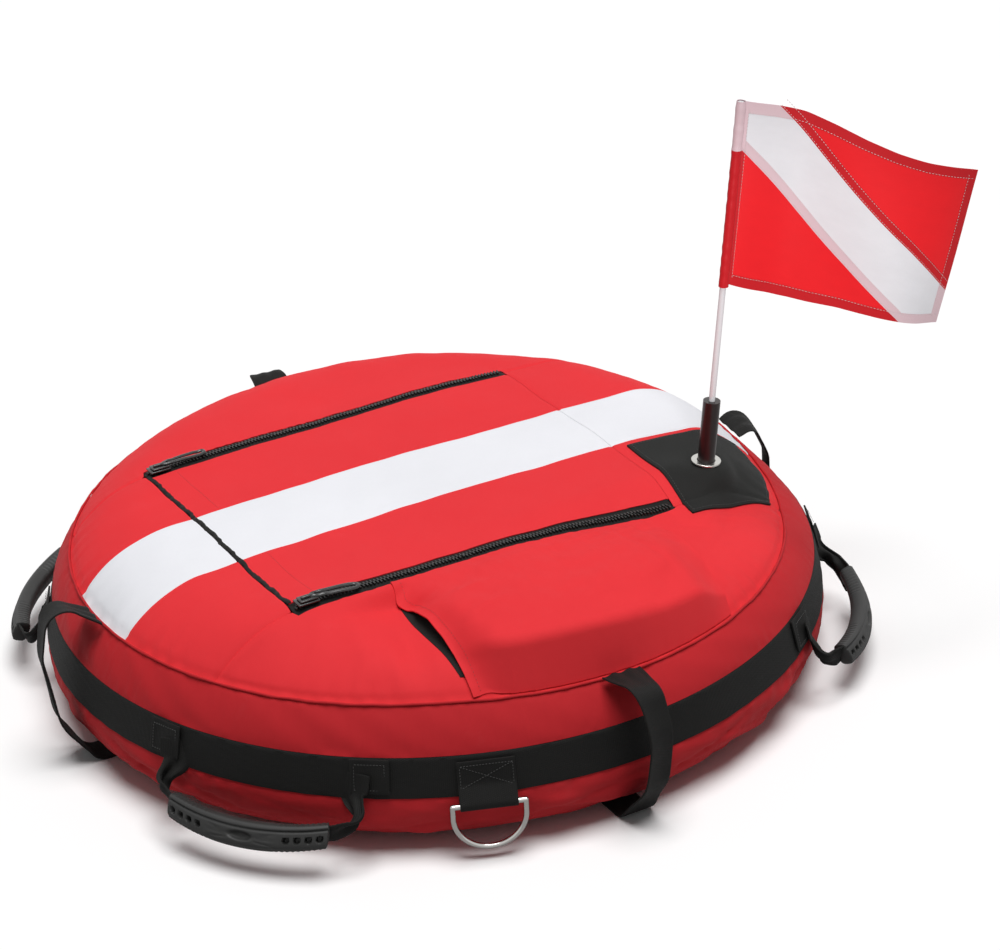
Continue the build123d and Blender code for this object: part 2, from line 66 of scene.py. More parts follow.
SEAM_R, CROWN_R = 374.0, 286.0
DOME_R, DOME_Z = 6819.333, -6616.333
SHOULDER_R, SHOULDER_CENTRE_R, SHOULDER_CENTRE_Z = 118.365, 281.035, 78.74
STRIPE_HALF, ZIP_Y, TAPE_W = 54.0, 176.0, 10.0
TOOTH_SIZE, SLIDER_X, PULL_HALF = (1.75, 4.6, 2.3), -226.0, 24.0
FLAP_LEFT_X, HINGE_X = -243.0, 190.0
CLOTH_T = 1.6
BAND_TOP_R, BAND_FOOT_R, BAND_FOOT_Z, BAND_RISE = 398.0, 406.0, 67.0, 40.0
PIPING_R, PIPING_Z, PIPING_WIRE_R = 375.2, 152.6, 1.3
BELLY, BASE = (388.0, 17.0), (337.0, 2.3)
MAST_X, MAST_Y, MAST_Z = 251.0, -141.0, 196.905
MAST_LEAN = math.radians(6.0)
FLAG_W, FLAG_H, FLAG_FOOT_Z = 250.0, 197.0, 200.0
FLAG_TOP_CUT = ((35.0, 197.0), (250.0, 43.34))
FLAG_HOIST_CUT = ((0.0, 146.37), (191.25, 0.0))
GRIPS = {"front_left": -142.5, "front_right": -37.5, "rear_right": 37.5, "rear_left": 142.5}
GRIP_TAB_DEG = 15.5
GRIP_AT, GRIP_SLOPE, GRIP_ROLL = (428.8, 0.0, 46.1), math.atan2(6.0, 19.0), math.radians(42.0)
GRIP_BOW_R, GRIP_CHORD_R, GRIP_HALF_TURN = 208.68, 189.68, math.radians(22.6)
GRIP_HOLES = (76.5, 66.0, 55.5, 45.0)
DRINGS = {"front": -111.5, "rear": 68.5}
DRING_R, DRING_Z, DRING_WIRE_R = 414.25, 61.0, 2.75
STRAPS = {"front": 270.0, "right": 0.0, "rear": 90.0, "left": 180.0}
CAMERA_AT = (-1.239233, -2.475927, 1.607786)
CAMERA_AHEAD = (0.42000634, 0.78533439, -0.45480168)
CAMERA_ROLL_DEG = 3.167
INSIDE = (0.0, 0.0, 60.0)


def colour_prop(name, about, value):
    return bpy.props.FloatVectorProperty(
        name=name, description=about, default=value, subtype="COLOR", size=3, min=0.0, max=1.0
    )


def length_prop(name, about, value):
    return bpy.props.FloatProperty(name=name, description=about, default=value, min=0.0, unit="LENGTH")


class BuoyColours(bpy.types.PropertyGroup):
    """Colours of the cloth, webbing and fittings"""

    red: colour_prop("Cover red", "Coated canvas of the top and walls", (0.80, 0.034, 0.042))
    # Painted shade: the cover's red made darker to stand in for the shade on the side walls; it dresses the upper
    # wall, the lower wall and the rim piping.
    wall: colour_prop("Wall red, painted shade", "Cover red darkened as painted shade for the walls and piping", (0.53, 0.020, 0.026))
    white: colour_prop("Stripe white", "Coated canvas of the stripe", (0.87, 0.875, 0.92))
    black: colour_prop("Webbing black", "Band, straps, tabs and binding", (0.0075, 0.0074, 0.0070))
    patch: colour_prop("Patch black", "Closed-cell sheet under the mast", (0.013, 0.0132, 0.0125))
    grip: colour_prop("Grip rubber", "Moulded handgrips", (0.026, 0.026, 0.0255))
    holder: colour_prop("Holder rubber", "Tube that holds the mast", (0.014, 0.008, 0.008))
    flag_red: colour_prop("Flag red", "Light nylon of the flag", (0.86, 0.012, 0.018))
    flag_white: colour_prop("Flag white", "Light nylon of the flag's stripe", (0.80, 0.80, 0.83))
    lining: colour_prop("Lining grey", "Woven lining of the compartment", (0.035, 0.036, 0.038))


class BuoySizes(bpy.types.PropertyGroup):
    """Sizes of the cloth's relief and threads"""

    weave: length_prop("Canvas weave", "Distance between the threads of the canvas", 0.0010)
    rib: length_prop("Webbing rib", "Distance between the ribs of the webbing", 0.0019)
    gather: length_prop("Rim gather", "Height of the puckers at the rim seam", 0.0012)
    swell: length_prop("Cloth swell", "Height of the slow waves in the cover", 0.0013)
    sag: length_prop("Front sag", "Depth of the hollows of the front panel", 0.020)
    tooth: length_prop("Zip pitch", "Distance between the teeth of a zip", 0.0038)
    stitch: length_prop("Stitch", "Distance between stitches", 0.0036)


class Value:
    """A socket that takes arithmetic: each operation adds its Math node."""

    def __init__(self, tree, socket):
        self.tree = tree
        self.socket = socket

    def maths(self, operation, *others, turned=False):
        node = self.tree.nodes.new("ShaderNodeMath")
        node.operation = operation
        terms = (*others, self) if turned else (self, *others)
        for slot, term in zip(node.inputs, terms):
            feed(self.tree, slot, term)
        return Value(self.tree, node.outputs[0])

    def __add__(self, other):
        return self.maths("ADD", other)

    __radd__ = __add__

    def __sub__(self, other):
        return self.maths("SUBTRACT", other)

    def __rsub__(self, other):
        return self.maths("SUBTRACT", other, turned=True)

    def __mul__(self, other):
        return self.maths("MULTIPLY", other)

    def __truediv__(self, other):
        return self.maths("DIVIDE", other)

    def __abs__(self):
        return self.maths("ABSOLUTE")

    def __lt__(self, other):
        return self.maths("LESS_THAN", other)

    def sine(self):
        return self.maths("SINE")

    def lowest(self, other):
        return self.maths("MINIMUM", other)

    def highest(self, other):
        return self.maths("MAXIMUM", other)

    def whole(self):
        return self.maths("FLOOR")


def feed(tree, slot, term):
    """Links a value to a socket, or sets the socket to a constant."""
    if isinstance(term, Value):
        tree.links.new(term.socket, slot)
    else:
        slot.default_value = term


class Finish:
    """One material with its shader and the nodes that feed it."""

    def __init__(self, name, roughness, **fixed):
        self.material = bpy.data.materials.new(name)
        self.material.use_nodes = True
        self.tree = self.material.node_tree
        self.tree.nodes.clear()
        self.shader = self.tree.nodes.new("ShaderNodeBsdfPrincipled")
        output = self.tree.nodes.new("ShaderNodeOutputMaterial")
        self.tree.links.new(self.shader.outputs[0], output.inputs["Surface"])
        self.shader.inputs["Roughness"].default_value = roughness
        for socket, value in fixed.items():
            self.shader.inputs[socket.replace("_", " ")].default_value = value

    def node(self, kind, settings=None, feeds=None, output=0):
        made = self.tree.nodes.new(kind)
        for name, value in (settings or {}).items():
            setattr(made, name, value)
        for slot, term in (feeds or {}).items():
            feed(self.tree, made.inputs[slot], term)
        return Value(self.tree, made.outputs[output])

    def apart(self, vector):
        made = self.tree.nodes.new("ShaderNodeSeparateXYZ")
        feed(self.tree, made.inputs[0], vector)
        return [Value(self.tree, socket) for socket in made.outputs]

    def cloth(self):
        """The piece's own flat pattern, in metres across and along."""
        return self.node("ShaderNodeUVMap", {"uv_map": "Cloth"})

    def place(self):
        return self.node("ShaderNodeTexCoord", output="Object")

    def noise(self, vector, scale, detail=3.0, rough=0.55):
        feeds = {"Vector": vector, "Scale": scale, "Detail": detail, "Roughness": rough}
        return self.node("ShaderNodeTexNoise", {"noise_dimensions": "3D"}, feeds, output=0)

    def stretched(self, vector, scale):
        return self.node("ShaderNodeVectorMath", {"operation": "MULTIPLY"}, {0: vector, 1: scale})

    def mix(self, share, first, second):
        """A colour between two, by a share."""
        feeds = {0: share, 6: first, 7: second}
        return self.node("ShaderNodeMix", {"data_type": "RGBA"}, feeds, output=2)

    def colour(self, value):
        feed(self.tree, self.shader.inputs["Base Color"], value)

    def rough(self, value):
        feed(self.tree, self.shader.inputs["Roughness"], value)

    def bump(self, height, depth, strength=1.0):
        feeds = {"Height": height, "Distance": depth, "Strength": strength}
        normal = self.node("ShaderNodeBump", None, feeds)
        feed(self.tree, self.shader.inputs["Normal"], normal)


def shade(colour, factor):
    """A colour made lighter or darker, with its alpha."""
    return (*(min(1.0, c * factor) for c in colour), 1.0)


def canvas(name, colour, pitch, rough=0.7, sheen=0.03, depth=0.00016, wear=0.07):
    """Coated plain-weave canvas: threads, slubs, slow changes of tone and pale rubbed spots."""
    made = Finish(name, rough, Sheen_Weight=sheen, Sheen_Roughness=0.45, Specular_IOR_Level=0.14)
    u, v, _ = made.apart(made.cloth())
    turn = 2 * math.pi / pitch
    weave = (u * turn).sine() * (v * turn).sine()
    slubs = made.noise(made.stretched(made.cloth(), (140.0, 1400.0, 1.0)), 1.0, 2.0)
    cross = made.noise(made.stretched(made.cloth(), (1400.0, 140.0, 1.0)), 1.0, 2.0)
    tone = made.noise(made.place(), 7.0, 4.0)
    fine = made.noise(made.place(), 60.0, 3.0)
    worn = (made.noise(made.place(), 21.0, 6.0, 0.7) - 0.62).highest(0.0) * 3.2
    base = made.mix(tone, shade(colour, 0.90), shade(colour, 1.07))
    threads = made.mix(slubs * 0.5 + cross * 0.5, shade(colour, 0.80), shade(colour, 1.12))
    base = made.mix(0.28, base, threads)
    base = made.mix((worn * wear).lowest(0.5), base, shade([c * 0.75 + 0.22 for c in colour], 1.0))
    made.colour(base)
    made.rough(rough - 0.07 + fine * 0.10 + slubs * 0.06)
    made.bump(weave * 0.32 + slubs * 0.45 + cross * 0.45, depth)
    return made.material


def webbing(name, colour, rib, sheen=0.02):
    """Woven webbing: ribs along it crossed by picks, with a firm edge and a little lint."""
    made = Finish(name, 0.62, Sheen_Weight=sheen, Sheen_Roughness=0.5, Specular_IOR_Level=0.12)
    u, v, _ = made.apart(made.cloth())
    ribs = abs((u * (math.pi / rib)).sine())
    chevron = (v * (2 * math.pi / rib) + (u / rib).whole() * math.pi).sine() * 0.5 + 0.5
    lint = made.noise(made.place(), 420.0, 2.0)
    tone = made.noise(made.place(), 26.0, 3.0)
    made.colour(made.mix(ribs * 0.5 + tone * 0.5, shade(colour, 0.72), shade(colour, 1.75)))
    made.rough(0.56 + lint * 0.16)
    made.bump(ribs * 0.55 + chevron * 0.35 + lint * 0.15, 0.00030)
    return made.material


def seam_distance(u, v, cut):
    """How far a point of a flat pattern is from a seam, in metres."""
    (x0, z0), (x1, z1) = ((x * MM, z * MM) for x, z in cut)
    across, down = x1 - x0, z1 - z0
    return abs(((u - x0) * -down + (v - z0) * across) / math.hypot(across, down))


def taffeta(name, colour, stain, cut):
    """Light flag cloth: crisp fine weave with darker hems, seam allowances and small creases."""
    made = Finish(name, 0.46, Sheen_Weight=0.03, Specular_IOR_Level=0.18)
    u, v, _ = made.apart(made.cloth())
    edge = (0.2495 - u).lowest(0.1965 - v).lowest(v - 0.0005).lowest(u + 0.0075)
    allowance = (seam_distance(u, v, cut) < 0.0105).highest(edge < 0.0115)
    crease = made.noise(made.stretched(made.cloth(), (34.0, 60.0, 1.0)), 1.0, 5.0, 0.62)
    threads = made.noise(made.stretched(made.cloth(), (2600.0, 300.0, 1.0)), 1.0, 1.0)
    tone = made.mix(crease, shade(colour, 0.93), shade(colour, 1.04))
    made.colour(made.mix(allowance * 0.85, tone, stain))
    made.rough(0.42 + threads * 0.12)
    made.bump((edge < 0.0118) * 0.9 + crease * 0.8 + threads * 0.15, 0.00035, 0.8)
    return made.material


def neoprene(name, colour):
    """Closed-cell sheet with a fine knit face."""
    made = Finish(name, 0.74, Sheen_Weight=0.04, Sheen_Roughness=0.4, Specular_IOR_Level=0.12)
    u, v, _ = made.apart(made.cloth())
    knit = (u * (2 * math.pi / 0.0016) + (v * (math.pi / 0.0011)).sine() * 0.9).sine()
    pores = made.noise(made.place(), 900.0, 1.0)
    tone = made.noise(made.place(), 16.0, 5.0)
    made.colour(made.mix(tone * 0.7 + pores * 0.3, shade(colour, 0.72), shade(colour, 1.55)))
    made.rough(0.68 + pores * 0.14)
    made.bump(knit * 0.4 + pores * 0.5 + tone * 0.6, 0.00022)
    return made.material


def moulded(name, colour, rough=0.5, grain=700.0, depth=0.00010, spread=0.4, coat=0.0, scuff=0.5, shine=0.3):
    """Moulded rubber or plastic: fine grain, handling marks and a slow change of tone."""
    made = Finish(name, rough, Specular_IOR_Level=shine, Coat_Weight=coat, Coat_Roughness=0.18)
    pits = made.noise(made.place(), grain, 2.0)
    tone = made.noise(made.place(), 34.0, 5.0, 0.65)
    marks = (made.noise(made.stretched(made.place(), (90.0, 90.0, 26.0)), 1.0, 6.0, 0.7) - 0.55).highest(0.0)
    base = made.mix(tone, shade(colour, 1 - spread), shade(colour, 1 + spread))
    made.colour(made.mix((marks * scuff).lowest(0.4), base, shade([c + 0.10 for c in colour], 1.0)))
    made.rough(rough - 0.06 + tone * 0.12 + marks * 0.3)
    made.bump(pits * 0.6 + tone * 0.4, depth)
    return made.material


def polished(name, colour, rough=0.14):
    """Polished or plated metal with hairlines and a faint haze."""
    made = Finish(name, rough, Metallic=1.0)
    lines = made.noise(made.stretched(made.place(), (900.0, 900.0, 120.0)), 1.0, 2.0)
    haze = made.noise(made.place(), 70.0, 4.0)
    made.colour(made.mix(haze, shade(colour, 0.90), shade(colour, 1.05)))
    made.rough(rough - 0.03 + haze * 0.09 + lines * 0.04)
    made.bump(lines, 0.00003, 0.5)
    return made.material


def thread(name, colour):
    """Sewing thread with its twist."""
    made = Finish(name, 0.6, Sheen_Weight=0.2)
    x, y, z = made.apart(made.place())
    twist = ((x + y + z) * 9000.0).sine() * 0.5 + 0.5
    made.colour(made.mix(twist, shade(colour, 0.75), shade(colour, 1.1)))
    made.bump(twist, 0.0001)
    return made.material


STOCK = {}


def stock():
    """The materials by the names that the pieces use."""
    if STOCK:
        return STOCK
    colours, sizes = bpy.context.scene.buoy_colours, bpy.context.scene.buoy_sizes
    red, white, black = list(colours.red), list(colours.white), list(colours.black)
    flag_red, flag_white = list(colours.flag_red), list(colours.flag_white)
    STOCK.update(
        red=canvas("canvas_red", red, sizes.weave),
        # The wall finish is the cover's canvas in the darker wall red, painted shade.
        wall=canvas("canvas_red_painted_wall_shade", list(colours.wall), sizes.weave),
        white=canvas("canvas_white", white, sizes.weave, wear=0.0),
        base=canvas("canvas_black", [c * 1.6 for c in black], sizes.weave * 1.3, depth=0.0003),
        lining=canvas("lining_cloth", list(colours.lining), sizes.weave * 0.8, rough=0.5),
        web=webbing("webbing_black", black, sizes.rib),
        tape=webbing("zip_tape_black", [c * 1.1 for c in black], sizes.rib * 0.5),
        patch=neoprene("neoprene_black", list(colours.patch)),
        grip=moulded("grip_rubber_black", list(colours.grip), 0.5, 900.0, 0.00012),
        holder=moulded("holder_rubber_dark", list(colours.holder), 0.3, 500.0, 0.00005, 0.3, 0.25),
        teeth=moulded("zip_teeth_black", [c * 1.8 for c in black], 0.34, 1200.0, 0.00003, 0.2, 0.2),
        enamel=moulded("slider_enamel_black", [c * 1.2 for c in black], 0.26, 900.0, 0.00004, 0.3, 0.6),
        pole=moulded("pole_white", [0.74, 0.74, 0.76], 0.32, 300.0, 0.00003, 0.04, 0.2, 0.15),
        tube=moulded("tube_rubber_grey", [0.05, 0.05, 0.053], 0.42, 260.0, 0.0001),
        steel=polished("steel_polished", [0.50, 0.49, 0.47], 0.15),
        plate=polished("grommet_plated", [0.62, 0.61, 0.58], 0.2),
        flag_red=taffeta("flag_cloth_red", flag_red, (0.52, 0.010, 0.016, 1.0), FLAG_TOP_CUT),
        flag_white=taffeta("flag_cloth_white", flag_white, (0.72, 0.50, 0.54, 1.0), FLAG_HOIST_CUT),
        thread_red=thread("thread_red", [0.55, 0.015, 0.02]),
        thread_white=thread("thread_white", [0.72, 0.62, 0.62]),
        thread_black=thread("thread_black", [0.028, 0.028, 0.027]),
    )
    return STOCK


def ripple(angle, waves, seed):
    """Uneven ripple, about -1 to 1, with roughly this many waves in a turn, closed round the turn."""
    rng = np.random.default_rng(seed)
    counts = rng.integers(max(1, int(waves * 0.6)), int(waves * 1.5) + 2, 6)
    phases = rng.uniform(0, 2 * math.pi, 6)
    return sum(np.sin(count * angle + phase) for count, phase in zip(counts, phases)) / 3


def swell(points, length, seed):
    """Uneven swell, about -1 to 1, with waves of roughly this length."""
    rng = np.random.default_rng(seed)
    total = np.zeros(len(points))
    for _ in range(7):
        heading = rng.normal(size=points.shape[1])
        heading *= 2 * math.pi / (np.linalg.norm(heading) * length * rng.uniform(0.6, 1.5))
        total += np.sin(points @ heading + rng.uniform(0, 2 * math.pi))
    return total / 3


def bell(value, width):
    """1 at zero, falling off smoothly on both sides over a width."""
    return np.exp(-((value / width) ** 2))


def pit(x, y, at, reach_x, reach_y):
    """A soft mound of height 1 about a point."""
    return np.exp(-(((x - at[0]) / reach_x) ** 2) - ((y - at[1]) / reach_y) ** 2)


def fold(points, start, end, width):
    """A soft ridge of height 1 between two points, with tapered ends."""
    start, run = np.array(start, float), np.subtract(end, start).astype(float)
    share = ((points - start) @ run) / (run @ run)
    off = np.linalg.norm(points - start - np.clip(share, 0, 1)[:, None] * run, axis=1)
    return np.exp(-((off / width) ** 2)) * np.sin(np.pi * np.clip(0.08 + share * 0.84, 0, 1))


def step_up(value, low, high):
    """0 below low, 1 above high, and smooth between."""
    share = np.clip((value - low) / (high - low), 0, 1)
    return share * share * (3 - 2 * share)


FRONT_FOLDS = (
    ((196, -204), (290, -214), 8.0, 1.6),
    ((168, -196), (120, -226), 7.0, 1.9),
    ((150, -190), (212, -232), 9.0, -1.6),
    ((196, -190), (318, -182), 6.0, 1.0),
    ((-196, -214), (-214, -286), 12.0, 2.2),
    ((-166, -236), (-176, -318), 11.0, -2.4),
    ((-186, -262), (-200, -322), 8.0, 1.5),
    ((-232, -196), (-268, -238), 9.0, -1.4),
    ((-150, -232), (-152, -330), 9.0, 1.8),
    ((-250, -186), (-326, -182), 5.0, 0.8),
)


def top_relief(x, y):
    """How far the soft top stands off the tight dome, in mm."""
    sizes = bpy.context.scene.buoy_sizes
    sag, gather, slow = sizes.sag / MM, sizes.gather / MM, sizes.swell / MM
    flat = np.column_stack([x, y])
    angle, from_rim = np.arctan2(y, x), SEAM_R - np.hypot(x, y)
    inner = step_up(from_rim, 0, 55)
    off_mast = mast_keep(x, y)
    right = step_up(x, -30, 190) * step_up(-y, 126, 192) * (1 - 0.7 * step_up(-y, 215, 330))
    mouth = bell(x + 141, 46) * step_up(-y, 188, 208) * (1 - 0.85 * step_up(-y, 262, 338))
    hollow = 0.95 * right + 0.80 * mouth
    hollow += 0.22 * pit(x, y, (262, -200), 46, 26) - 0.30 * pit(x, y, (-215, -170), 70, 34)
    rise = -sag * hollow * inner * off_mast
    rise += slow * swell(flat, 170, 3) * inner * off_mast + 0.35 * slow * swell(flat, 52, 4) * inner
    for start, end, width, height in FRONT_FOLDS:
        rise += height * fold(flat, start, end, width) * step_up(from_rim, 0, 20)
    pucker = gather * np.exp(-np.abs(from_rim) / 17) * ripple(angle, 92, 5)
    pucker += 0.45 * gather * np.exp(-np.abs(from_rim) / 7) * ripple(angle, 230, 6)
    rise += pucker * step_up(from_rim, 0, 5) - 1.1 * bell(from_rim - 3.0, 2.6)
    by_zip = np.exp(-np.abs(np.abs(y) - ZIP_Y - 6) / 9) * (x > FLAP_LEFT_X - 20) * (x < HINGE_X + 12)
    rise += 0.5 * by_zip * ripple(x / 60, 26, 8 + (y > 0)) * off_mast
    rise -= 0.9 * bell(np.abs(y) - STRIPE_HALF, 1.5)
    beyond = (x < FLAP_LEFT_X) | (x > HINGE_X)
    rise -= 1.7 * bell(np.abs(y) - ZIP_Y, 2.4) * beyond
    between = np.abs(y) < ZIP_Y
    rise -= 1.0 * bell(x - HINGE_X, 1.6) * between
    left = np.exp(-np.abs(x - FLAP_LEFT_X) / 16) * between
    return rise + left * (0.9 * ripple(y / 60, 9, 12) - 0.4)


RIM_ANGLES = (-180, -140, -116, -100, -84, -68, -52, -44, -28, -12, 4, 30, 60, 90, 180)
RIM_DROPS = (2.0, 2.5, 1.0, 5.0, 8.0, 9.0, 9.0, 11.0, 17.0, 15.0, 7.0, 4.0, 2.0, 1.0, 2.0)
RIM_PULLS = (0.0, 0.0, 0.0, 0.0, 0.0, 1.0, 3.0, 5.0, 9.0, 8.0, 4.0, 1.0, 0.0, 0.0, 0.0)


def mast_keep(x, y):
    """0 at the foot of the mast, which stays where it stands, and 1 away from it."""
    return 1 - np.exp(-((((x - MAST_X) ** 2 + (y - MAST_Y) ** 2) / 30.0**2) ** 2))


def settled(points):
    """The soft rim after it has slumped: lower and a little further in."""
    x, y, z = points[:, 0], points[:, 1], points[:, 2]
    radius, degrees = np.hypot(x, y), np.degrees(np.arctan2(y, x))
    share = step_up(radius, 288, 368) * np.clip((z - 107) / 45, 0, 1) * mast_keep(x, y)
    pull = share * np.interp(degrees, RIM_ANGLES, RIM_PULLS) / np.maximum(radius, 1)
    drop = share * np.interp(degrees, RIM_ANGLES, RIM_DROPS)
    return np.column_stack([x * (1 - pull), y * (1 - pull), z - drop])


def top_point(x, y, lift=0.0):
    """Points of the top's outer face, with its sags and folds, in mm."""
    x, y = np.asarray(x, float), np.asarray(y, float)
    radius = np.maximum(np.hypot(x, y), 1e-6)
    dome = radius <= CROWN_R
    centre_r = np.where(dome, 0.0, SHOULDER_CENTRE_R)
    centre_z = np.where(dome, DOME_Z, SHOULDER_CENTRE_Z)
    arc = np.where(dome, DOME_R, SHOULDER_R)
    height = centre_z + np.sqrt(arc**2 - (radius - centre_r) ** 2)
    out, up = (radius - centre_r) / arc, (height - centre_z) / arc
    rise = top_relief(x, y) + lift
    spread = 1 + out * rise / radius
    return settled(np.column_stack([x * spread, y * spread, height + up * rise]))


def ground_z(x, y, lift):
    """Height of the slumped top under points that lie on it, in mm."""
    radius = np.maximum(np.hypot(x, y), 1e-6)
    pull = np.interp(np.degrees(np.arctan2(y, x)), RIM_ANGLES, RIM_PULLS) * step_up(radius, 288, 368)
    reach = np.minimum(radius + pull, SEAM_R - 0.6) / radius
    return top_point(x * reach, y * reach, lift)[:, 2]


def tangent_arc(start, end, heading, count=24):
    """Points from start to end on the arc that leaves start in a heading."""
    start, end, heading = (np.array(p, float) for p in (start, end, heading))
    heading /= np.linalg.norm(heading)
    chord = end - start
    side = np.array([-heading[1], heading[0]])
    turn = 2 * math.atan2(chord @ side, chord @ heading)
    radius = (chord @ chord) / (2 * (chord @ side))
    centre = start + side * radius
    spoke = start - centre
    angles = np.linspace(0, turn, count)
    cos, sin = np.cos(angles), np.sin(angles)
    return centre + np.column_stack([cos * spoke[0] - sin * spoke[1], sin * spoke[0] + cos * spoke[1]])


def rounded(corners, radii):
    """A line through corners with an arc of its own radius at each inner one."""
    corners = [np.array(c, float) for c in corners]
    line = [corners[0]]
    for before, corner, after, radius in zip(corners, corners[1:], corners[2:], radii):
        back, ahead = before - corner, after - corner
        back, ahead = back / np.linalg.norm(back), ahead / np.linalg.norm(ahead)
        half = math.acos(np.clip(back @ ahead, -1, 1)) / 2
        first, last = corner + back * radius / math.tan(half), corner + ahead * radius / math.tan(half)
        middle = back + ahead
        centre = corner + middle / np.linalg.norm(middle) * radius / math.sin(half)
        for share in np.linspace(0, 1, 14):
            ray = (first - centre) * (1 - share) + (last - centre) * share
            line.append(centre + ray / np.linalg.norm(ray) * radius)
    return np.array([*line, corners[-1]])


def run_of(line):
    """Distances from a line's start to each of its points."""
    return np.concatenate([[0.0], np.cumsum(np.linalg.norm(np.diff(line, axis=0), axis=1))])


def follow(line, where):
    """Points and headings on a line at distances along it."""
    run = run_of(line)
    at = [np.interp(where, run, line[:, k]) for k in range(line.shape[1])]
    ahead = [np.interp(where + 0.6, run, line[:, k]) for k in range(line.shape[1])]
    behind = [np.interp(where - 0.6, run, line[:, k]) for k in range(line.shape[1])]
    heading = np.column_stack(ahead) - np.column_stack(behind)
    return np.column_stack(at), heading / np.maximum(np.linalg.norm(heading, axis=1), 1e-9)[:, None]


def turned(points, degrees):
    """Points turned about the vertical axis."""
    a = math.radians(degrees)
    x, y = points[:, 0], points[:, 1]
    return np.column_stack([x * math.cos(a) - y * math.sin(a), x * math.sin(a) + y * math.cos(a), points[:, 2]])


def only(piece):
    """Makes one piece the only selected and active one."""
    bpy.ops.object.select_all(action="DESELECT")
    piece.select_set(True)
    bpy.context.view_layer.objects.active = piece


def added(operation, **settings):
    """Adds a primitive and returns its object."""
    bpy.ops.object.select_all(action="DESELECT")
    operation(**settings)
    return bpy.context.object


def edited(piece, operation, **settings):
    """Runs one edit-mode operation on a whole mesh."""
    only(piece)
    bpy.ops.object.mode_set(mode="EDIT")
    bpy.ops.mesh.select_all(action="SELECT")
    operation(**settings)
    bpy.ops.object.mode_set(mode="OBJECT")
    return piece


def vertices_of(mesh):
    """A mesh's vertices, in metres."""
    points = np.empty(len(mesh.vertices) * 3)
    mesh.vertices.foreach_get("co", points)
    return points.reshape(-1, 3)


def laid(name, columns, rows, lay):
    """A flat grid of cells whose vertices go where lay says, with its flat pattern kept as a UV map."""
    piece = added(bpy.ops.mesh.primitive_grid_add, x_subdivisions=columns, y_subdivisions=rows, size=1.0)
    piece.name = name
    mesh = piece.data
    flat = vertices_of(mesh) + 0.5
    points, cloth = lay(flat[:, 0], flat[:, 1])
    mesh.vertices.foreach_set("co", (points * MM).ravel())
    corners = np.empty(len(mesh.loops), dtype=np.int32)
    mesh.loops.foreach_get("vertex_index", corners)
    while mesh.uv_layers:
        mesh.uv_layers.remove(mesh.uv_layers[0])
    mesh.uv_layers.new(name="Cloth").data.foreach_set("uv", (cloth[corners] * MM).ravel())
    mesh.update()
    return piece


def closed(piece, away_from=None, toward=None):
    """Merges doubles, and turns an open sheet to face away from a point or toward it."""
    edited(piece, bpy.ops.mesh.remove_doubles, threshold=0.00002)
    if away_from or toward:
        middle = Vector(away_from or toward) * MM
        total = sum((p.center - middle).normalized().dot(p.normal) * p.area for p in piece.data.polygons)
        if total * (1 if away_from else -1) < 0:
            edited(piece, bpy.ops.mesh.flip_normals)
    return piece


def changed(piece, kind, **settings):
    """Adds a modifier and applies it."""
    only(piece)
    modifier = piece.modifiers.new(kind.title(), kind)
    for name, value in settings.items():
        setattr(modifier, name, value)
    bpy.ops.object.modifier_apply(modifier=modifier.name)
    return piece


def thick(piece, thickness, offset=-1.0):
    """Gives a sheet its thickness in mm: inwards, or to both sides with an offset of 0."""
    return changed(piece, "SOLIDIFY", thickness=thickness * MM, offset=offset, use_even_offset=False)


def eased(piece, width, segments=2, limit="ANGLE"):
    """Rounds a piece's edges, by a width in mm."""
    return changed(piece, "BEVEL", width=width * MM, segments=segments, limit_method=limit)


def joined(name, pieces):
    """Several meshes as one piece."""
    only(pieces[0])
    for piece in pieces[1:]:
        piece.select_set(True)
    if len(pieces) > 1:
        bpy.ops.object.join()
    pieces[0].name = name
    return pieces[0]


def done(piece, body, finish, stands_for=(), angle=50):
    """Shades a piece, gives it its material and ties it to its body when the body is a name; any other body leaves
    it untied, with its place baked into its mesh.
    """
    only(piece)
    bpy.ops.object.transform_apply(location=True, rotation=True, scale=True)
    bpy.ops.object.shade_smooth_by_angle(angle=math.radians(angle))
    piece.data.materials.clear()
    piece.data.materials.append(stock()[finish])
    if isinstance(body, str):
        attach(piece, body)
    else:
        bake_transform(piece)
    if stands_for:
        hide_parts(*stands_for)
    return piece


def dressed(node, finish):
    """Gives a node of the frame its material."""
    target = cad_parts[node]
    if not target.material_slots:
        target.data.materials.append(stock()[finish])
    for slot in target.material_slots:
        slot.material = stock()[finish]


def scattered(name, model, places):
    """One mesh of many copies of a small model, each with its own vertices."""
    base = np.array([v.co for v in model.data.vertices])
    faces = [tuple(p.vertices) for p in model.data.polygons]
    points = np.concatenate([base @ place[:3, :3].T + place[:3, 3] for place in places])
    size = len(base)
    polygons = [tuple(i + k * size for i in face) for k in range(len(places)) for face in faces]
    mesh = bpy.data.meshes.new(name)
    mesh.from_pydata(points.tolist(), [], polygons)
    mesh.update()
    piece = bpy.data.objects.new(name, mesh)
    bpy.context.scene.collection.objects.link(piece)
    bpy.data.objects.remove(model)
    return piece


def stood(points, headings, ups):
    """Places with X along the headings and Z along the ups, for points in mm."""
    places = []
    for point, heading, up in zip(points, headings, ups):
        x = heading / np.linalg.norm(heading)
        y = np.cross(up, x)
        y /= np.linalg.norm(y)
        place = np.eye(4)
        place[:3, 0], place[:3, 1], place[:3, 2], place[:3, 3] = x, y, np.cross(x, y), point * MM
        places.append(place)
    return places


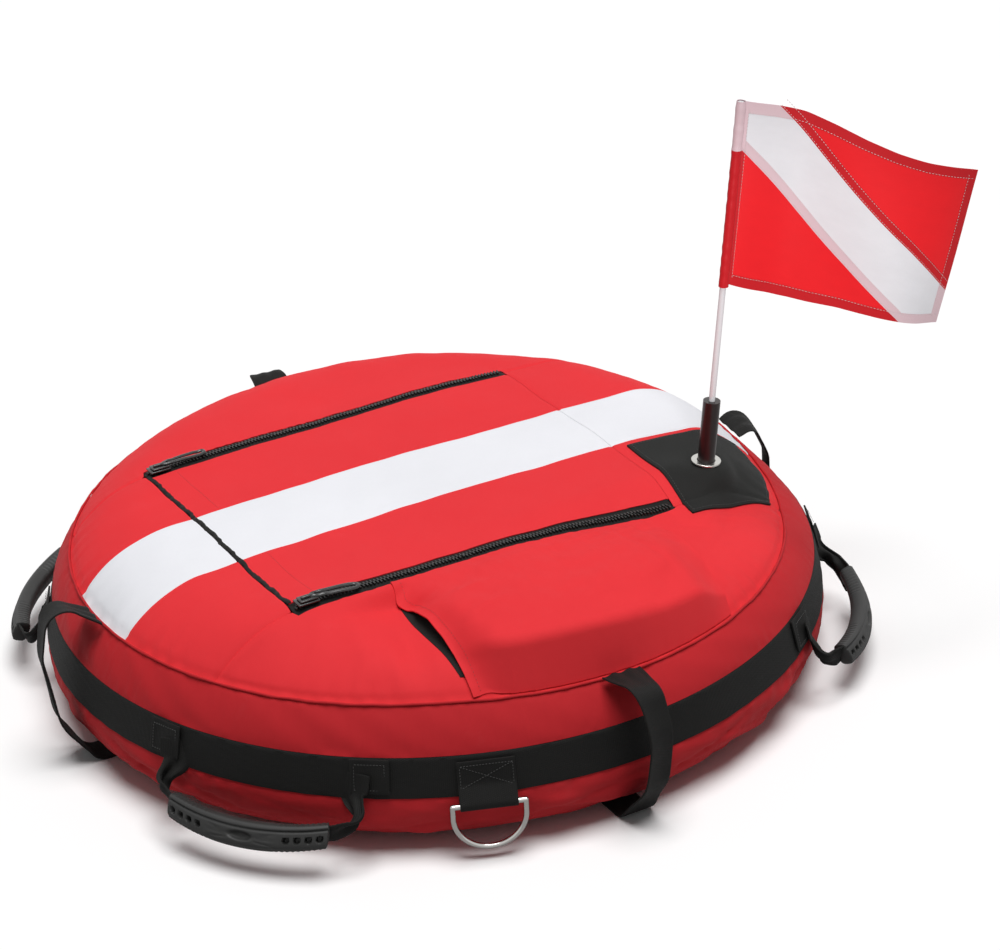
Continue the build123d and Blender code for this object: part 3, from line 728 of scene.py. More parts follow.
def sewn(name, lines, body, finish, spacing=None, length=2.5, wide=0.36):
    """Rows of stitches along lines: each line is its points and the cloth's outward directions."""
    spacing = spacing or bpy.context.scene.buoy_sizes.stitch / MM
    places = []
    for points, ups in lines:
        points = np.asarray(points, float)
        ups = np.broadcast_to(np.asarray(ups, float), points.shape)
        run = run_of(points)
        where = np.arange(spacing / 2, run[-1], spacing)
        at, headings = follow(points, where)
        tops = np.column_stack([np.interp(where, run, ups[:, k]) for k in range(3)])
        places += stood(at, headings, tops)
    model = added(bpy.ops.mesh.primitive_ico_sphere_add, subdivisions=1, radius=1.0)
    model.data.transform(Matrix.Diagonal((length / 2 * MM, wide * MM, wide * 0.8 * MM, 1.0)))
    return done(scattered(name, model, places), body, finish, angle=80)


def top_line(x, y, lift=0.5):
    """A line on the cover's top for stitches: points and up directions."""
    points = top_point(x, y, lift)
    radius = np.hypot(points[:, 0], points[:, 1])
    lean = np.clip((radius - CROWN_R) / SHOULDER_R, 0, 0.8) / np.maximum(radius, 1)
    return points, np.column_stack([points[:, 0] * lean, points[:, 1] * lean, np.ones(len(points))])


def long_panel(side):
    """The red panel from a zip's line to the rim, on the side with this sign of Y."""
    rim, chord = SEAM_R - 0.2, math.sqrt(SEAM_R**2 - ZIP_Y**2)
    start = math.asin(ZIP_Y / SEAM_R)

    def lay(u, v):
        edge_x = (2 * u - 1) * chord
        notch = step_up(edge_x, FLAP_LEFT_X - 1, FLAP_LEFT_X + 2) * step_up(-edge_x, -HINGE_X - 1, 2 - HINGE_X)
        notch = notch * (1 - 0.5 * step_up(edge_x, HINGE_X - 60, HINGE_X - 6))
        angle = math.pi + start + u * (math.pi - 2 * start)
        x = edge_x * (1 - v) + rim * np.cos(angle) * v
        y = (ZIP_Y + notch * TAPE_W) * (1 - v) - rim * np.sin(angle) * v
        return top_point(x, side * y), np.column_stack([x, side * y])

    return laid("panel", 220, 62, lay)


def end_panel(x_edge, y0, y1, rows):
    """A panel between a line across the cover and the rim."""
    rim = SEAM_R - 0.2

    def lay(u, v):
        y = y0 + u * (y1 - y0)
        far = math.copysign(1, x_edge) * np.sqrt(rim**2 - y**2)
        x = x_edge * (1 - v) + far * v
        return top_point(x, y), np.column_stack([x, y])

    return laid("panel", max(6, int(abs(y1 - y0) / 3)), rows, lay)


def flap_cloth(x0, x1, y0, y1, lift=0.0):
    """A rectangle of the flap, or of what lies on it."""

    def lay(u, v):
        x, y = x0 + u * (x1 - x0), y0 + v * (y1 - y0)
        return top_point(x, y, lift), np.column_stack([x, y])

    return laid("cloth", max(2, int(abs(x1 - x0) / 3)), max(2, int(abs(y1 - y0) / 3)), lay)


class BUOY_OT_cover_top(bpy.types.Operator):
    """Sews the fixed red panels and white stripe ends of the cover's top"""

    bl_idname = "buoy.cover_top"
    bl_label = "Cover top"

    def execute(self, context):
        for side, name in ((-1, "panel_front"), (1, "panel_rear")):
            panel = thick(closed(long_panel(side), INSIDE), CLOTH_T)
            panel.name = f"cloth_{name}"
            done(panel, "buoy", "red", [name])
        reds, whites = [], []
        for x_edge, rows in ((FLAP_LEFT_X - 0.4, 40), (HINGE_X + 0.15, 52)):
            for y0, y1 in ((-ZIP_Y, -STRIPE_HALF), (STRIPE_HALF, ZIP_Y)):
                reds.append(thick(closed(end_panel(x_edge, y0, y1, rows), INSIDE), CLOTH_T))
            whites.append(thick(closed(end_panel(x_edge, -STRIPE_HALF, STRIPE_HALF, rows), INSIDE), CLOTH_T))
        done(joined("cloth_end_panels", reds), "buoy", "red", ["end_panels"])
        done(joined("cloth_end_stripes", whites), "buoy", "white", ["end_stripes"])
        return {"FINISHED"}


class BUOY_OT_flap(bpy.types.Operator):
    """Sews the flap: two red panels, the white stripe, the wavy binding and its hem stitches"""

    bl_idname = "buoy.flap"
    bl_label = "Top flap"

    def execute(self, context):
        left, right, edge = FLAP_LEFT_X + 2.6, HINGE_X - 0.15, ZIP_Y - TAPE_W
        panels = [
            thick(closed(flap_cloth(left, right, y0, y1), INSIDE), CLOTH_T)
            for y0, y1 in ((-edge, -STRIPE_HALF), (STRIPE_HALF, edge))
        ]
        done(joined("cloth_flap_panels", panels), "flap", "red", ["flap_panels"])
        stripe = thick(closed(flap_cloth(left, right, -STRIPE_HALF, STRIPE_HALF), INSIDE), CLOTH_T)
        stripe.name = "cloth_flap_stripe"
        done(stripe, "flap", "white", ["flap_stripe"])
        done(self.binding(), "flap", "web", ["flap_binding"])
        rows = [
            top_line(np.full(90, FLAP_LEFT_X + 31.0), np.linspace(y0, y1, 90), 0.15)
            for y0, y1 in ((-edge + 4, -STRIPE_HALF - 2), (STRIPE_HALF + 2, edge - 4))
        ]
        sewn("hem_stitches", rows, "flap", "thread_red")
        return {"FINISHED"}

    def binding(self):
        """Tape folded round the flap's free edge, gathered a little unevenly."""
        edge = ZIP_Y - TAPE_W

        def lay(u, v):
            around = (u - 0.5) * 2
            y = -edge + v * 2 * edge
            wave = 0.8 * ripple(y / 60, 10, 31) + 0.4 * ripple(y / 60, 34, 32)
            bend = around * math.pi * 0.62
            reach = 2.0 + 0.5 * ripple(y / 60, 22, 33)
            wide = 1.5 + 0.5 * ripple(y / 60, 16, 34)
            x = FLAP_LEFT_X + 1.9 + wave - np.cos(bend) * wide + np.abs(around) ** 3 * 2.0
            points = top_point(x, y, 0.0)
            points[:, 2] += np.sin(bend) * reach * 0.62 - 0.6
            return points, np.column_stack([around * 8, y])

        return thick(closed(laid("cloth_flap_binding", 14, 220, lay)), 0.7, 0.0)


class BUOY_OT_zips(bpy.types.Operator):
    """Lays the two zips: tapes, interlocked teeth, sliders and pulls"""

    bl_idname = "buoy.zips"
    bl_label = "Zips"

    def execute(self, context):
        for inward, node, body in ((-1, "zips_fixed", "buoy"), (1, "zips_flap", "flap")):
            tapes = [self.tape(side, inward) for side in (-1, 1)]
            done(joined(f"tape_{node}", tapes), body, "tape", [node])
            done(self.teeth(f"teeth_{node}", inward), body, "teeth", angle=35)
        sliders = [self.slider(side) for side in (-1, 1)]
        done(joined("sliders", sliders), "flap", "enamel", ["zip_sliders"], angle=35)
        return {"FINISHED"}

    def tape(self, side, inward):
        """Half a zip's tape, tucked under the cloth at its outer edge."""

        def lay(u, v):
            x = FLAP_LEFT_X + 1 + v * (HINGE_X - FLAP_LEFT_X - 2)
            out = 0.15 + u * (TAPE_W + 1.4)
            y = side * (ZIP_Y - inward * out)
            return top_point(x, y, -0.55 - 0.6 * step_up(out, 4.2, 5.6)), np.column_stack([out, x])

        return thick(closed(laid("tape", 5, 150, lay), INSIDE), 0.8)

    def teeth(self, name, inward):
        """A row of moulded teeth on each of the two tapes."""
        pitch = bpy.context.scene.buoy_sizes.tooth / MM
        model = added(bpy.ops.mesh.primitive_cube_add, size=1.0)
        model.data.transform(Matrix.Diagonal((*(size * MM for size in TOOTH_SIZE), 1.0)))
        eased(model, 0.42, 1, "NONE")
        places = []
        for side in (-1, 1):
            start = FLAP_LEFT_X + 5 + (pitch / 2 if inward > 0 else 0)
            x = np.arange(start, HINGE_X - 5, pitch)
            y = np.full(len(x), side * (ZIP_Y - inward * 1.7))
            points = top_point(x, y, 0.9)
            ahead = top_point(x + 1, y, 0.9) - points
            places += stood(points, ahead, np.broadcast_to((0.0, 0.0, 1.0), points.shape))
        return scattered(name, model, places)

    def slider(self, side):
        """A slider body with its bridge and a long pull laid along the chain."""
        x, y = SLIDER_X, side * ZIP_Y
        base = top_point(np.array([x]), np.array([y]), 1.9)[0]
        parts = []
        for size, at, round_by in (
            ((23.0, 15.0, 2.4), (0.0, 0.0, 1.0), 0.9),
            ((18.0, 12.0, 2.0), (0.5, 0.0, 3.6), 0.9),
            ((15.0, 4.0, 3.0), (1.5, 0.0, 5.6), 1.3),
        ):
            part = added(bpy.ops.mesh.primitive_cube_add, size=1.0, location=(base + np.array(at)) * MM)
            part.scale = [s * MM for s in size]
            bpy.ops.object.transform_apply(location=True, rotation=True, scale=True)
            parts.append(eased(part, round_by, 3, "NONE"))
        parts.append(self.pull(x + 5, y, side))
        return joined("slider", parts)

    def pull(self, x, y, side):
        """A long loop of a pull, narrow at the slider and wider at its end, with a bar across."""

        def lay(u, v):
            turn, around = 2 * math.pi * u, 2 * math.pi * v
            along = np.sign(np.cos(turn)) * np.abs(np.cos(turn)) ** 0.45
            reach = (along + 1) * PULL_HALF
            width = 3.0 + 1.3 * step_up(reach, 8, 40)
            off = np.sign(np.sin(turn)) * np.abs(np.sin(turn)) ** 0.5 * width
            bead = 2.1 + 0.5 * step_up(reach, 30, 48)
            px = x + reach + np.cos(around) * bead * np.cos(turn)
            py = y + off + np.cos(around) * bead * np.sin(turn)
            points = top_point(px, py + side * 0.06 * reach, 0.0)
            points[:, 2] += 7.0 - 0.055 * reach + np.sin(around) * 1.6
            return points, np.column_stack([reach, off])

        return closed(laid("pull", 72, 10, lay))


def ring(name, profile, columns, rows, relief, soft=False):
    """Cloth turned round the axis along a profile of radius and height, with its relief."""
    profile = np.asarray(profile, float)
    length = run_of(profile)[-1]
    middle = profile[:, 0].mean()

    def lay(u, v):
        angle, where = 2 * math.pi * u, v * length
        at, heading = follow(profile, where)
        out = np.column_stack([heading[:, 1], -heading[:, 0]])
        at = at + out * relief(angle, where, length, at)[:, None]
        points = np.column_stack([at[:, 0] * np.cos(angle), at[:, 0] * np.sin(angle), at[:, 1]])
        return (settled(points) if soft else points), np.column_stack([angle * middle, where])

    return laid(name, columns, rows, lay)


def side_profile():
    """The upper side wall from the band up to the rim seam."""
    low, mid, high = np.array([398.0, 107.2]), np.array([389.0, 131.0]), np.array([374.0, 151.8])
    a, b = mid - low, high - low
    scale = 2 * (a[0] * b[1] - a[1] * b[0])
    cx = (b[1] * (a @ a) - a[1] * (b @ b)) / scale
    cz = (a[0] * (b @ b) - b[0] * (a @ a)) / scale
    heading = np.array([cz, -cx]) if cz * a[0] - cx * a[1] > 0 else np.array([-cz, cx])
    return tangent_arc(low, high, heading, 20)


class BUOY_OT_walls(bpy.types.Operator):
    """Sews the side walls, the waist band, the rim piping and the base"""

    bl_idname = "buoy.walls"
    bl_label = "Walls and band"

    def execute(self, context):
        upper = closed(ring("cloth_side_upper", side_profile(), 760, 16, self.upper_relief, True), INSIDE)
        # The upper wall takes the darker wall red, painted shade.
        done(thick(upper, CLOTH_T), "buoy", "wall", ["side_upper"])
        low = tangent_arc(BASE, BELLY, (1, 0), 16)
        leave = low[-1] - low[-2]
        wall = np.concatenate([low, tangent_arc(BELLY, (BAND_FOOT_R, BAND_FOOT_Z - 0.1), leave, 24)[1:]])
        lower = closed(ring("cloth_side_lower", wall, 760, 34, self.lower_relief), INSIDE)
        # The lower wall takes the darker wall red, painted shade.
        done(thick(lower, CLOTH_T), "buoy", "wall", ["side_lower"])
        band = [(404.9, 66.6), (406.9, 66.4), (407.3, 68.5), (399.1, 105.6), (398.4, 107.6), (396.6, 107.5)]
        belt = closed(ring("waist_webbing", band, 600, 14, self.band_relief), INSIDE)
        done(thick(belt, 1.2), "buoy", "web", ["waist_band"])
        self.piping()
        floor = [(BASE[0] - 0.2, 2.3), (112, 2.3), (106, 2.9), (74, 9.7), (68, 10.3), (0.01, 10.3)]
        base = closed(ring("cloth_bottom", floor, 160, 40, self.base_relief), (0, 0, 400))
        done(thick(base, CLOTH_T), "buoy", "base", ["bottom_panel"])
        return {"FINISHED"}

    def upper_relief(self, angle, where, length, at):
        gather = 0.7 * np.exp(-where / 9) * ripple(angle, 150, 21)
        gather += 0.8 * np.exp(-(length - where) / 9) * ripple(angle, 120, 22)
        body = np.sin(math.pi * where / length)
        slow = 0.7 * ripple(angle, 13, 23) + 0.5 * ripple(angle + where * 0.004, 34, 24)
        return (gather + slow * 0.7) * step_up(body, 0.0, 0.35) + 0.25 * body * ripple(angle, 420, 25)

    def lower_relief(self, angle, where, length, at):
        top = length - where
        body = step_up(where, 22, 62) * step_up(top, 0, 24)
        slack = np.clip(0.75 + 0.6 * ripple(angle, 5, 40), 0.25, 1.5)
        slant = np.clip(ripple(angle + where * 0.0075, 17, 41), -0.3, 1.5)
        cross = np.clip(ripple(angle - where * 0.0052, 27, 42), -0.6, 1.2)
        fine = ripple(angle + where * 0.011, 60, 44)
        gather = 0.9 * np.exp(-top / 12) * ripple(angle, 120, 43) * step_up(top, 0, 4)
        creases = (1 - np.clip(np.abs(ripple(angle + where * 0.0085, 8, 46)) * 1.6, 0, 1)) ** 2
        creases += (1 - np.clip(np.abs(ripple(angle - where * 0.0110, 7, 47)) * 1.8, 0, 1)) ** 2
        off = [np.degrees(angle) - degrees % 360 for degrees in DRINGS.values()]
        still = 1.0 - 0.8 * sum(bell(by, 7.0) for by in off)
        relief = slack * (3.0 * slant + 1.6 * cross) + 0.35 * fine - 2.6 * creases * slack - 1.0
        return body * (relief * still - 1.6 * (1 - still)) + gather

    def band_relief(self, angle, where, length, at):
        return 0.35 * ripple(angle, 24, 51) + 0.22 * ripple(angle + where * 0.01, 70, 52)

    def base_relief(self, angle, where, length, at):
        return 0.35 * ripple(angle, 16, 61) * step_up(where, 0, 40) * step_up(at[:, 0], 10, 120)

    def piping(self):
        """Cloth-covered cord in the rim seam, puckered along its length."""
        piece = added(
            bpy.ops.mesh.primitive_torus_add, major_segments=900, minor_segments=10,
            major_radius=PIPING_R * MM, minor_radius=PIPING_WIRE_R * MM, location=(0, 0, PIPING_Z * MM),
        )
        piece.name = "cloth_rim_piping"
        bpy.ops.object.transform_apply(location=True, rotation=True, scale=True)
        mesh = piece.data
        co = vertices_of(mesh) / MM
        angle, radius = np.arctan2(co[:, 1], co[:, 0]), np.hypot(co[:, 0], co[:, 1])
        size = 1 + 0.16 * ripple(angle, 150, 71) + 0.10 * ripple(angle, 330, 72)
        far = PIPING_R + (radius - PIPING_R) * size + 0.3 * ripple(angle, 40, 73)
        up = PIPING_Z + (co[:, 2] - PIPING_Z) * size + 0.4 * ripple(angle, 55, 74)
        co = settled(np.column_stack([far * np.cos(angle), far * np.sin(angle), up]))
        mesh.vertices.foreach_set("co", (co * MM).ravel())
        layer = mesh.uv_layers[0]
        layer.name = "Cloth"
        uv = np.empty(len(layer.data) * 2)
        layer.data.foreach_get("uv", uv)
        layer.data.foreach_set("uv", (uv.reshape(-1, 2) * (2.364, 0.015)).ravel())
        mesh.update()
        # The piping takes the darker wall red, painted shade.
        done(piece, "buoy", "wall", ["rim_piping"], angle=80)


class BUOY_OT_inside(bpy.types.Operator):
    """Hangs the compartment's lining and lays the inflated tube round it"""

    bl_idname = "buoy.inside"
    bl_label = "Lining and tube"

    def execute(self, context):
        wall = tangent_arc((162.0, 72.0), (306.0, 140.0), (0, 1), 30)
        profile = [(0.01, 14.6), (140.0, 14.6), (156.0, 17.5), (162.0, 26.0), *wall.tolist()]
        lining = closed(ring("cloth_lining", profile, 210, 50, self.crumple), toward=(0.0, 0.0, 150.0))
        done(thick(lining, 0.9), "buoy", "lining", ["compartment_lining"])
        section = [
            (172, 16), (330, 10), (376, 24), (394, 66), (388, 104), (364, 136), (330, 150), (306, 150),
            (262, 132), (212, 104), (180, 78), (171, 56), (170, 30), (172, 16),
        ]
        tube = closed(ring("air_tube_rubber", self.soft(section), 100, 36, self.bulge))
        edited(tube, bpy.ops.mesh.normals_make_consistent, inside=False)
        done(tube, "buoy", "tube", ["air_tube"])
        return {"FINISHED"}

    def soft(self, corners):
        """A closed line rounded by cutting its corners twice."""
        line = np.array(corners[:-1], float)
        for _ in range(2):
            after = np.roll(line, -1, axis=0)
            line = np.stack([line * 0.75 + after * 0.25, line * 0.25 + after * 0.75], axis=1).reshape(-1, 2)
        return np.concatenate([line, line[:1]])

    def crumple(self, angle, where, length, at):
        wall = step_up(at[:, 0], 120, 165) * step_up(length - where, 0, 22)
        return wall * (1.6 * ripple(angle + where * 0.002, 18, 81) + 0.9 * ripple(angle - where * 0.006, 40, 82))

    def bulge(self, angle, where, length, at):
        return 0.6 * ripple(angle, 9, 91)


POCKET_FROM, POCKET_LEFT_X, POCKET_LONG = 187.0, -141.0, 291.0
POCKET_FOLDS = (
    ((148, -192), (70, -224), 8.0, 2.4),
    ((128, -187), (26, -213), 7.0, 1.8),
    ((138, -206), (84, -248), 9.0, -2.4),
    ((60, -196), (-60, -222), 12.0, 1.6),
    ((104, -232), (20, -262), 14.0, 1.6),
    ((-116, -250), (-60, -246), 7.0, 1.4),
    ((-124, -296), (-70, -284), 6.0, 1.6),
    ((-20, -322), (34, -312), 9.0, 1.4),
    ((52, -318), (116, -292), 8.0, 2.0),
    ((96, -190), (104, -300), 4.0, -1.4),
)


class BUOY_OT_pocket(bpy.types.Operator):
    """Sews the bellows pocket: a slack sheet over a wall, open at its hemmed left end"""

    bl_idname = "buoy.pocket"
    bl_label = "Side pocket"

    MOUTH = (
        (-186.5, 200.5), (-195.0, 196.0), (-206.0, 189.5), (-217.0, 187.0), (-226.0, 190.5), (-240.0, 196.0),
        (-262.0, 197.5), (-288.0, 192.0), (-312.0, 182.0), (-330.0, 170.0), (-341.0, 160.0), (-346.5, 153.5),
    )

    def execute(self, context):
        sheet = thick(closed(laid("cloth_pocket", 130, 84, self.lay), INSIDE), 1.3)
        done(sheet, "buoy", "red", ["side_pocket"])
        back, v = np.full(120, 8.5 / POCKET_LONG), np.linspace(0.02, 0.98, 120)
        points, beside, ahead = (
            self.lay(u, at)[0] for u, at in ((back, v), (back + 2 / POCKET_LONG, v), (back, v + 0.01))
        )
        ups = np.cross(beside - points, points - ahead)
        ups *= np.sign(ups[:, 2:3]) / np.linalg.norm(ups, axis=1)[:, None]
        sewn("pocket_stitches", [(points + ups * 0.2, ups)], "buoy", "thread_red")
        # A black sheet under the pocket, painted shade for the dark inside of its mouth.
        floor = thick(closed(laid("pocket_painted_shade_sheet", 40, 60, self.floor), INSIDE), 0.6)
        done(floor, "buoy", "base")
        return {"FINISHED"}

    def lay(self, u, v):
        x = POCKET_LEFT_X + u * POCKET_LONG
        section = np.empty((len(u), 2))
        for at in np.unique(u):
            column = u == at
            line = self.section(POCKET_LEFT_X + at * POCKET_LONG)
            section[column], _ = follow(line, v[column] * run_of(line)[-1])
        mouth = rounded(self.MOUTH, (6,) * (len(self.MOUTH) - 2))
        at, _ = follow(mouth, v * run_of(mouth)[-1])
        share = bell(x - POCKET_LEFT_X, 19.0)
        y = at[:, 0] * share + section[:, 0] * (1 - share)
        z = at[:, 1] * share + section[:, 1] * (1 - share)
        flat = np.column_stack([x, y])
        body = step_up(v, 0.0, 0.10) * step_up(1 - v, 0.0, 0.16)
        z = z + body * (1.3 * swell(flat, 95, 101) + 0.5 * swell(flat, 34, 102))
        for start, end, width, height in POCKET_FOLDS:
            z = z + height * fold(flat, start, end, width) * body
        curl = share * (4.0 * bell(v - 0.13, 0.05) - 2.5 * bell(v - 0.24, 0.05))
        z = np.maximum(z, ground_z(x - curl, y, 1.9))
        return np.column_stack([x - curl, y, z]), np.column_stack([x, v * 240])

    def floor(self, u, v):
        """A black sheet on the panel under the pocket: painted shade for the dark hollow seen in the pocket's
        mouth.
        """
        y = -209.0 - v * 136.0
        x = -143.5 - 5.0 * np.sin(math.pi * np.clip(v * 1.1, 0, 1)) + u * 98.0
        y = np.maximum(y, -np.sqrt(358.0**2 - x**2))
        return top_point(x, y, 0.8), np.column_stack([x, y])

    def section(self, x):
        """The pocket's line at a place along it: up to its crest, over a soft edge and down to the rim."""
        taper = float(step_up(np.array(x), 108, 151))
        inner = top_point([x], [-POCKET_FROM], 1.6)[0]
        low = float(step_up(np.array(x), -60, 130))
        edge_r, edge_z = 361.5, 203.0 - 17.0 * low - 22.0 * taper
        crest_r, crest_z = 296.0 + 14.0 * taper, 213.0 - 6.0 * low - 15.0 * taper
        line = [(inner[1], inner[2])]
        for radius, height in ((crest_r, crest_z), (edge_r, edge_z)):
            line.append((-math.sqrt(radius**2 - x**2), height))
        foot = top_point([x], [-math.sqrt((SEAM_R - 1.6) ** 2 - x**2)], 1.0)[0]
        line.append((foot[1], foot[2]))
        return rounded(line, (70.0, 13.0 - 8.0 * taper))


class BUOY_OT_mast(bpy.types.Operator):
    """Sews the mast patch and dresses the holder, grommet and pole"""

    bl_idname = "buoy.mast"
    bl_label = "Mast and patch"

    def execute(self, context):
        patch = eased(thick(closed(laid("neoprene_patch", 52, 46, self.lay), INSIDE), 2.6), 0.5)
        done(patch, "buoy", "patch", ["mast_patch"])
        inset, near = np.full(70, 0.028), np.linspace(0.02, 0.98, 70)
        edges = ((inset, near), (near, inset), (1 - inset, near), (near, 1 - inset))
        rows = [(self.lay(u, v)[0] + (0, 0, 0.1), (0.0, 0.0, 1.0)) for u, v in edges]
        sewn("patch_stitches", rows, "buoy", "thread_black")
        for node, finish in (("mast_holder", "holder"), ("mast_grommet", "plate"), ("mast_pole", "pole")):
            dressed(node, finish)
        return {"FINISHED"}

    def lay(self, u, v):
        front = -196.0 + 15.0 * u**3
        y = front + v * (-65.0 - front)
        left = 200.0 + 2.0 * v
        right = np.minimum(344.0, np.sqrt(363.0**2 - y**2))
        x = left + u * (right - left)
        edge = np.minimum(np.minimum(u, 1 - u) * 130, np.minimum(v, 1 - v) * 126)
        lift = 2.9 - 0.7 * np.exp(-edge / 3)
        seat = np.hypot(x - MAST_X, y - MAST_Y)
        lift = np.where(seat < 18, np.minimum(lift, 3.1), lift)
        return top_point(x, y, lift), np.column_stack([x, y])


def mast_axes():
    """The mast's seat, its axis, the flag's direction and the flag's face direction."""
    azimuth = math.atan2(MAST_Y, MAST_X)
    out = np.array([math.cos(azimuth), math.sin(azimuth), 0.0])
    axis = out * math.sin(MAST_LEAN) + np.array([0, 0, math.cos(MAST_LEAN)])
    fly = out * math.cos(MAST_LEAN) - np.array([0, 0, math.sin(MAST_LEAN)])
    return np.array([MAST_X, MAST_Y, MAST_Z]), axis, fly, np.cross(axis, fly)


FLAG_TOP = (
    (0.0, 397.0), (31.0, 393.5), (61.0, 387.5), (92.0, 376.5), (123.0, 364.0), (154.0, 353.5), (184.0, 346.0),
    (214.0, 340.5), (236.0, 336.5),
)
FLAG_FOOT = (
    (0.0, 203.0), (26.0, 194.0), (52.0, 186.5), (82.0, 181.5), (113.0, 178.5), (144.0, 172.5), (175.0, 165.5),
    (199.0, 158.5), (222.0, 153.5),
)


def flag_point(x, z, lift=0.0):
    """A point of the flag from its distance off the hoist and above the foot, in mm, with its waves."""
    seat, axis, fly, face = mast_axes()
    u, v = x / FLAG_W, z / FLAG_H
    knots, smooth = np.linspace(0, 1, len(FLAG_TOP)), np.linspace(0, 1, 201)
    edges = []
    for line in np.array([FLAG_TOP, FLAG_FOOT]):
        soft = np.column_stack([np.interp(smooth, knots, line[:, k]) for k in (0, 1)])
        for _ in range(14):
            soft[1:-1] = (soft[:-2] + soft[1:-1] * 2 + soft[2:]) / 4
        edges.append(np.column_stack([np.interp(u, smooth, soft[:, k]) for k in (0, 1)]))
    at = edges[1] * (1 - v)[:, None] + edges[0] * v[:, None]
    depth = 40.0 * u**1.4 * (1 - v) + 9.0 * np.sin(2 * math.pi * (0.95 * u + 0.10)) * step_up(u, 0.0, 0.3)
    depth += 10.0 * np.sin(math.pi * u) * (1 - v) * np.cos(math.pi * u)
    depth += 1.3 * np.sin(2 * math.pi * (2.3 * u + v)) * u
    across = 4.65 + at[:, 0]
    return seat + np.outer(at[:, 1], axis) + np.outer(across, fly) + np.outer(depth + lift, face)


class BUOY_OT_flag(bpy.types.Operator):
    """Sews the dive flag: two red pieces, the white diagonal, hems, stitches and the hoist sleeve"""

    bl_idname = "buoy.flag"
    bl_label = "Dive flag"

    def execute(self, context):
        upper = self.cut("flag_red_upper", ((FLAG_TOP_CUT, 1),))
        lower = self.cut("flag_red_lower", ((FLAG_HOIST_CUT, -1),))
        white = self.cut("flag_white_diagonal", ((FLAG_TOP_CUT, -1), (FLAG_HOIST_CUT, 1)))
        done(upper, "flag", "flag_red", ["flag_red"])
        done(lower, "flag", "flag_red")
        done(white, "flag", "flag_white", ["flag_white"])
        seams = [((4, 186), (246, 186)), ((4, 11), (246, 11)), ((239, 8), (239, 190)), ((4.2, 8), (4.2, 190))]
        seams += [self.beside(cut, shift) for cut in (FLAG_TOP_CUT, FLAG_HOIST_CUT) for shift in (1.6, 9.5)]
        lines = [self.row(corners, face) for face in (0.55, -0.55) for corners in seams]
        thread_rows = sewn("flag_stitches", lines, "flag", "thread_white", 3.4, 2.3, 0.3)
        sleeve = self.sleeve("flag_hoist_sleeve", 0.0, 0.742)
        done(sleeve, "flag", "flag_red", ["flag_sleeve"])
        done(self.sleeve("flag_hoist_sleeve_white", 0.742, 1.0), "flag", "flag_white")
        return {"FINISHED"}

    def cut(self, name, sides):
        """A piece of the flag: a flat grid cut by lines and then laid on the flag's waves."""

        def lay(u, v):
            flat = np.column_stack([u * FLAG_W, v * FLAG_H, u * 0])
            return flat, flat[:, :2]

        piece = laid(name, 84, 66, lay)
        for ((x0, z0), (x1, z1)), keep in sides:
            edited(
                piece, bpy.ops.mesh.bisect, plane_co=(x0 * MM, z0 * MM, 0), clear_outer=keep < 0,
                clear_inner=keep > 0, plane_no=Vector((z0 - z1, x1 - x0, 0.0)).normalized(),
            )
        mesh = piece.data
        co = vertices_of(mesh) / MM
        mesh.vertices.foreach_set("co", (flag_point(co[:, 0], co[:, 1]) * MM).ravel())
        mesh.update()
        return thick(closed(piece), 0.6, 0.0)

    def row(self, corners, face):
        """A row of stitches on one face of the flag, between two points of its flat pattern."""
        share = np.linspace(0, 1, 80)
        (x0, z0), (x1, z1) = corners
        points = flag_point(x0 + (x1 - x0) * share, z0 + (z1 - z0) * share, face)
        return points, mast_axes()[3] * math.copysign(1, face)

    def beside(self, corners, shift):
        """A line moved sideways, kept inside the hems."""
        (x0, z0), (x1, z1) = corners
        length = math.hypot(x1 - x0, z1 - z0)
        side_x, side_z = -(z1 - z0) / length * shift, (x1 - x0) / length * shift
        return (x0 + side_x, z0 + side_z), (x1 + side_x, z1 + side_z)

    def sleeve(self, name, low, high):
        """The hoist hem wrapped round the pole, with a gathered seam."""
        seat, axis, fly, face = mast_axes()

        def lay(u, v):
            angle = 2 * math.pi * u
            z = FLAG_FOOT_Z + (low + v * (high - low)) * FLAG_H
            radius = 4.35 + 0.22 * ripple(z / 60, 26, 111) + 0.9 * np.maximum(0, np.cos(angle)) ** 6
            spoke = np.outer(np.cos(angle) * radius, fly) + np.outer(np.sin(angle) * radius, face)
            return seat + np.outer(z, axis) + spoke, np.column_stack([u * 3, z - FLAG_FOOT_Z])

        return thick(closed(laid(name, 20, int(6 + 70 * (high - low)), lay)), 0.6, 0.0)


def ribbon(name, line, width, degrees, thickness=1.9, sway=None, across=10, step=3.5):
    """Webbing along a line of radius and height, stood round the buoy at an angle."""
    line = np.asarray(line, float)
    length = run_of(line)[-1]

    def lay(u, v):
        at, heading = follow(line, v * length)
        side = (u - 0.5) * width
        lift, shift = sway(u, v) if sway else (0.0, 0.0)
        r = at[:, 0] + heading[:, 1] * lift
        z = at[:, 1] - heading[:, 0] * lift
        points = np.column_stack([r, side + shift, z])
        return settled(turned(points, degrees)), np.column_stack([side, v * length])

    piece = thick(closed(laid(name, across, max(6, int(length / step)), lay)), thickness, 0.0)
    return eased(piece, min(0.5, thickness / 3))


STRAP_LINES = {
    "front": ((378.5, 156.0), (426.0, 160.0), (441.0, 108.0), (428.0, 44.0), (398.0, 1.2), (343.0, 1.2)),
    "right": ((377.0, 156.0), (404.0, 167.0), (413.0, 114.0), (413.0, 46.0), (396.0, 1.2), (343.0, 1.2)),
    "rear": ((378.5, 156.0), (405.0, 176.0), (420.0, 108.0), (418.0, 44.0), (396.0, 1.2), (343.0, 1.2)),
    "left": ((378.5, 156.0), (424.0, 187.0), (438.0, 124.0), (427.0, 48.0), (398.0, 1.2), (343.0, 1.2)),
}
STRAP_LEAN = {"front": -0.28, "right": 0.34, "rear": 0.10, "left": 0.20}
STRAP_DRIFT = {"front": 5.0, "right": -5.0, "rear": -30.0, "left": -4.0}


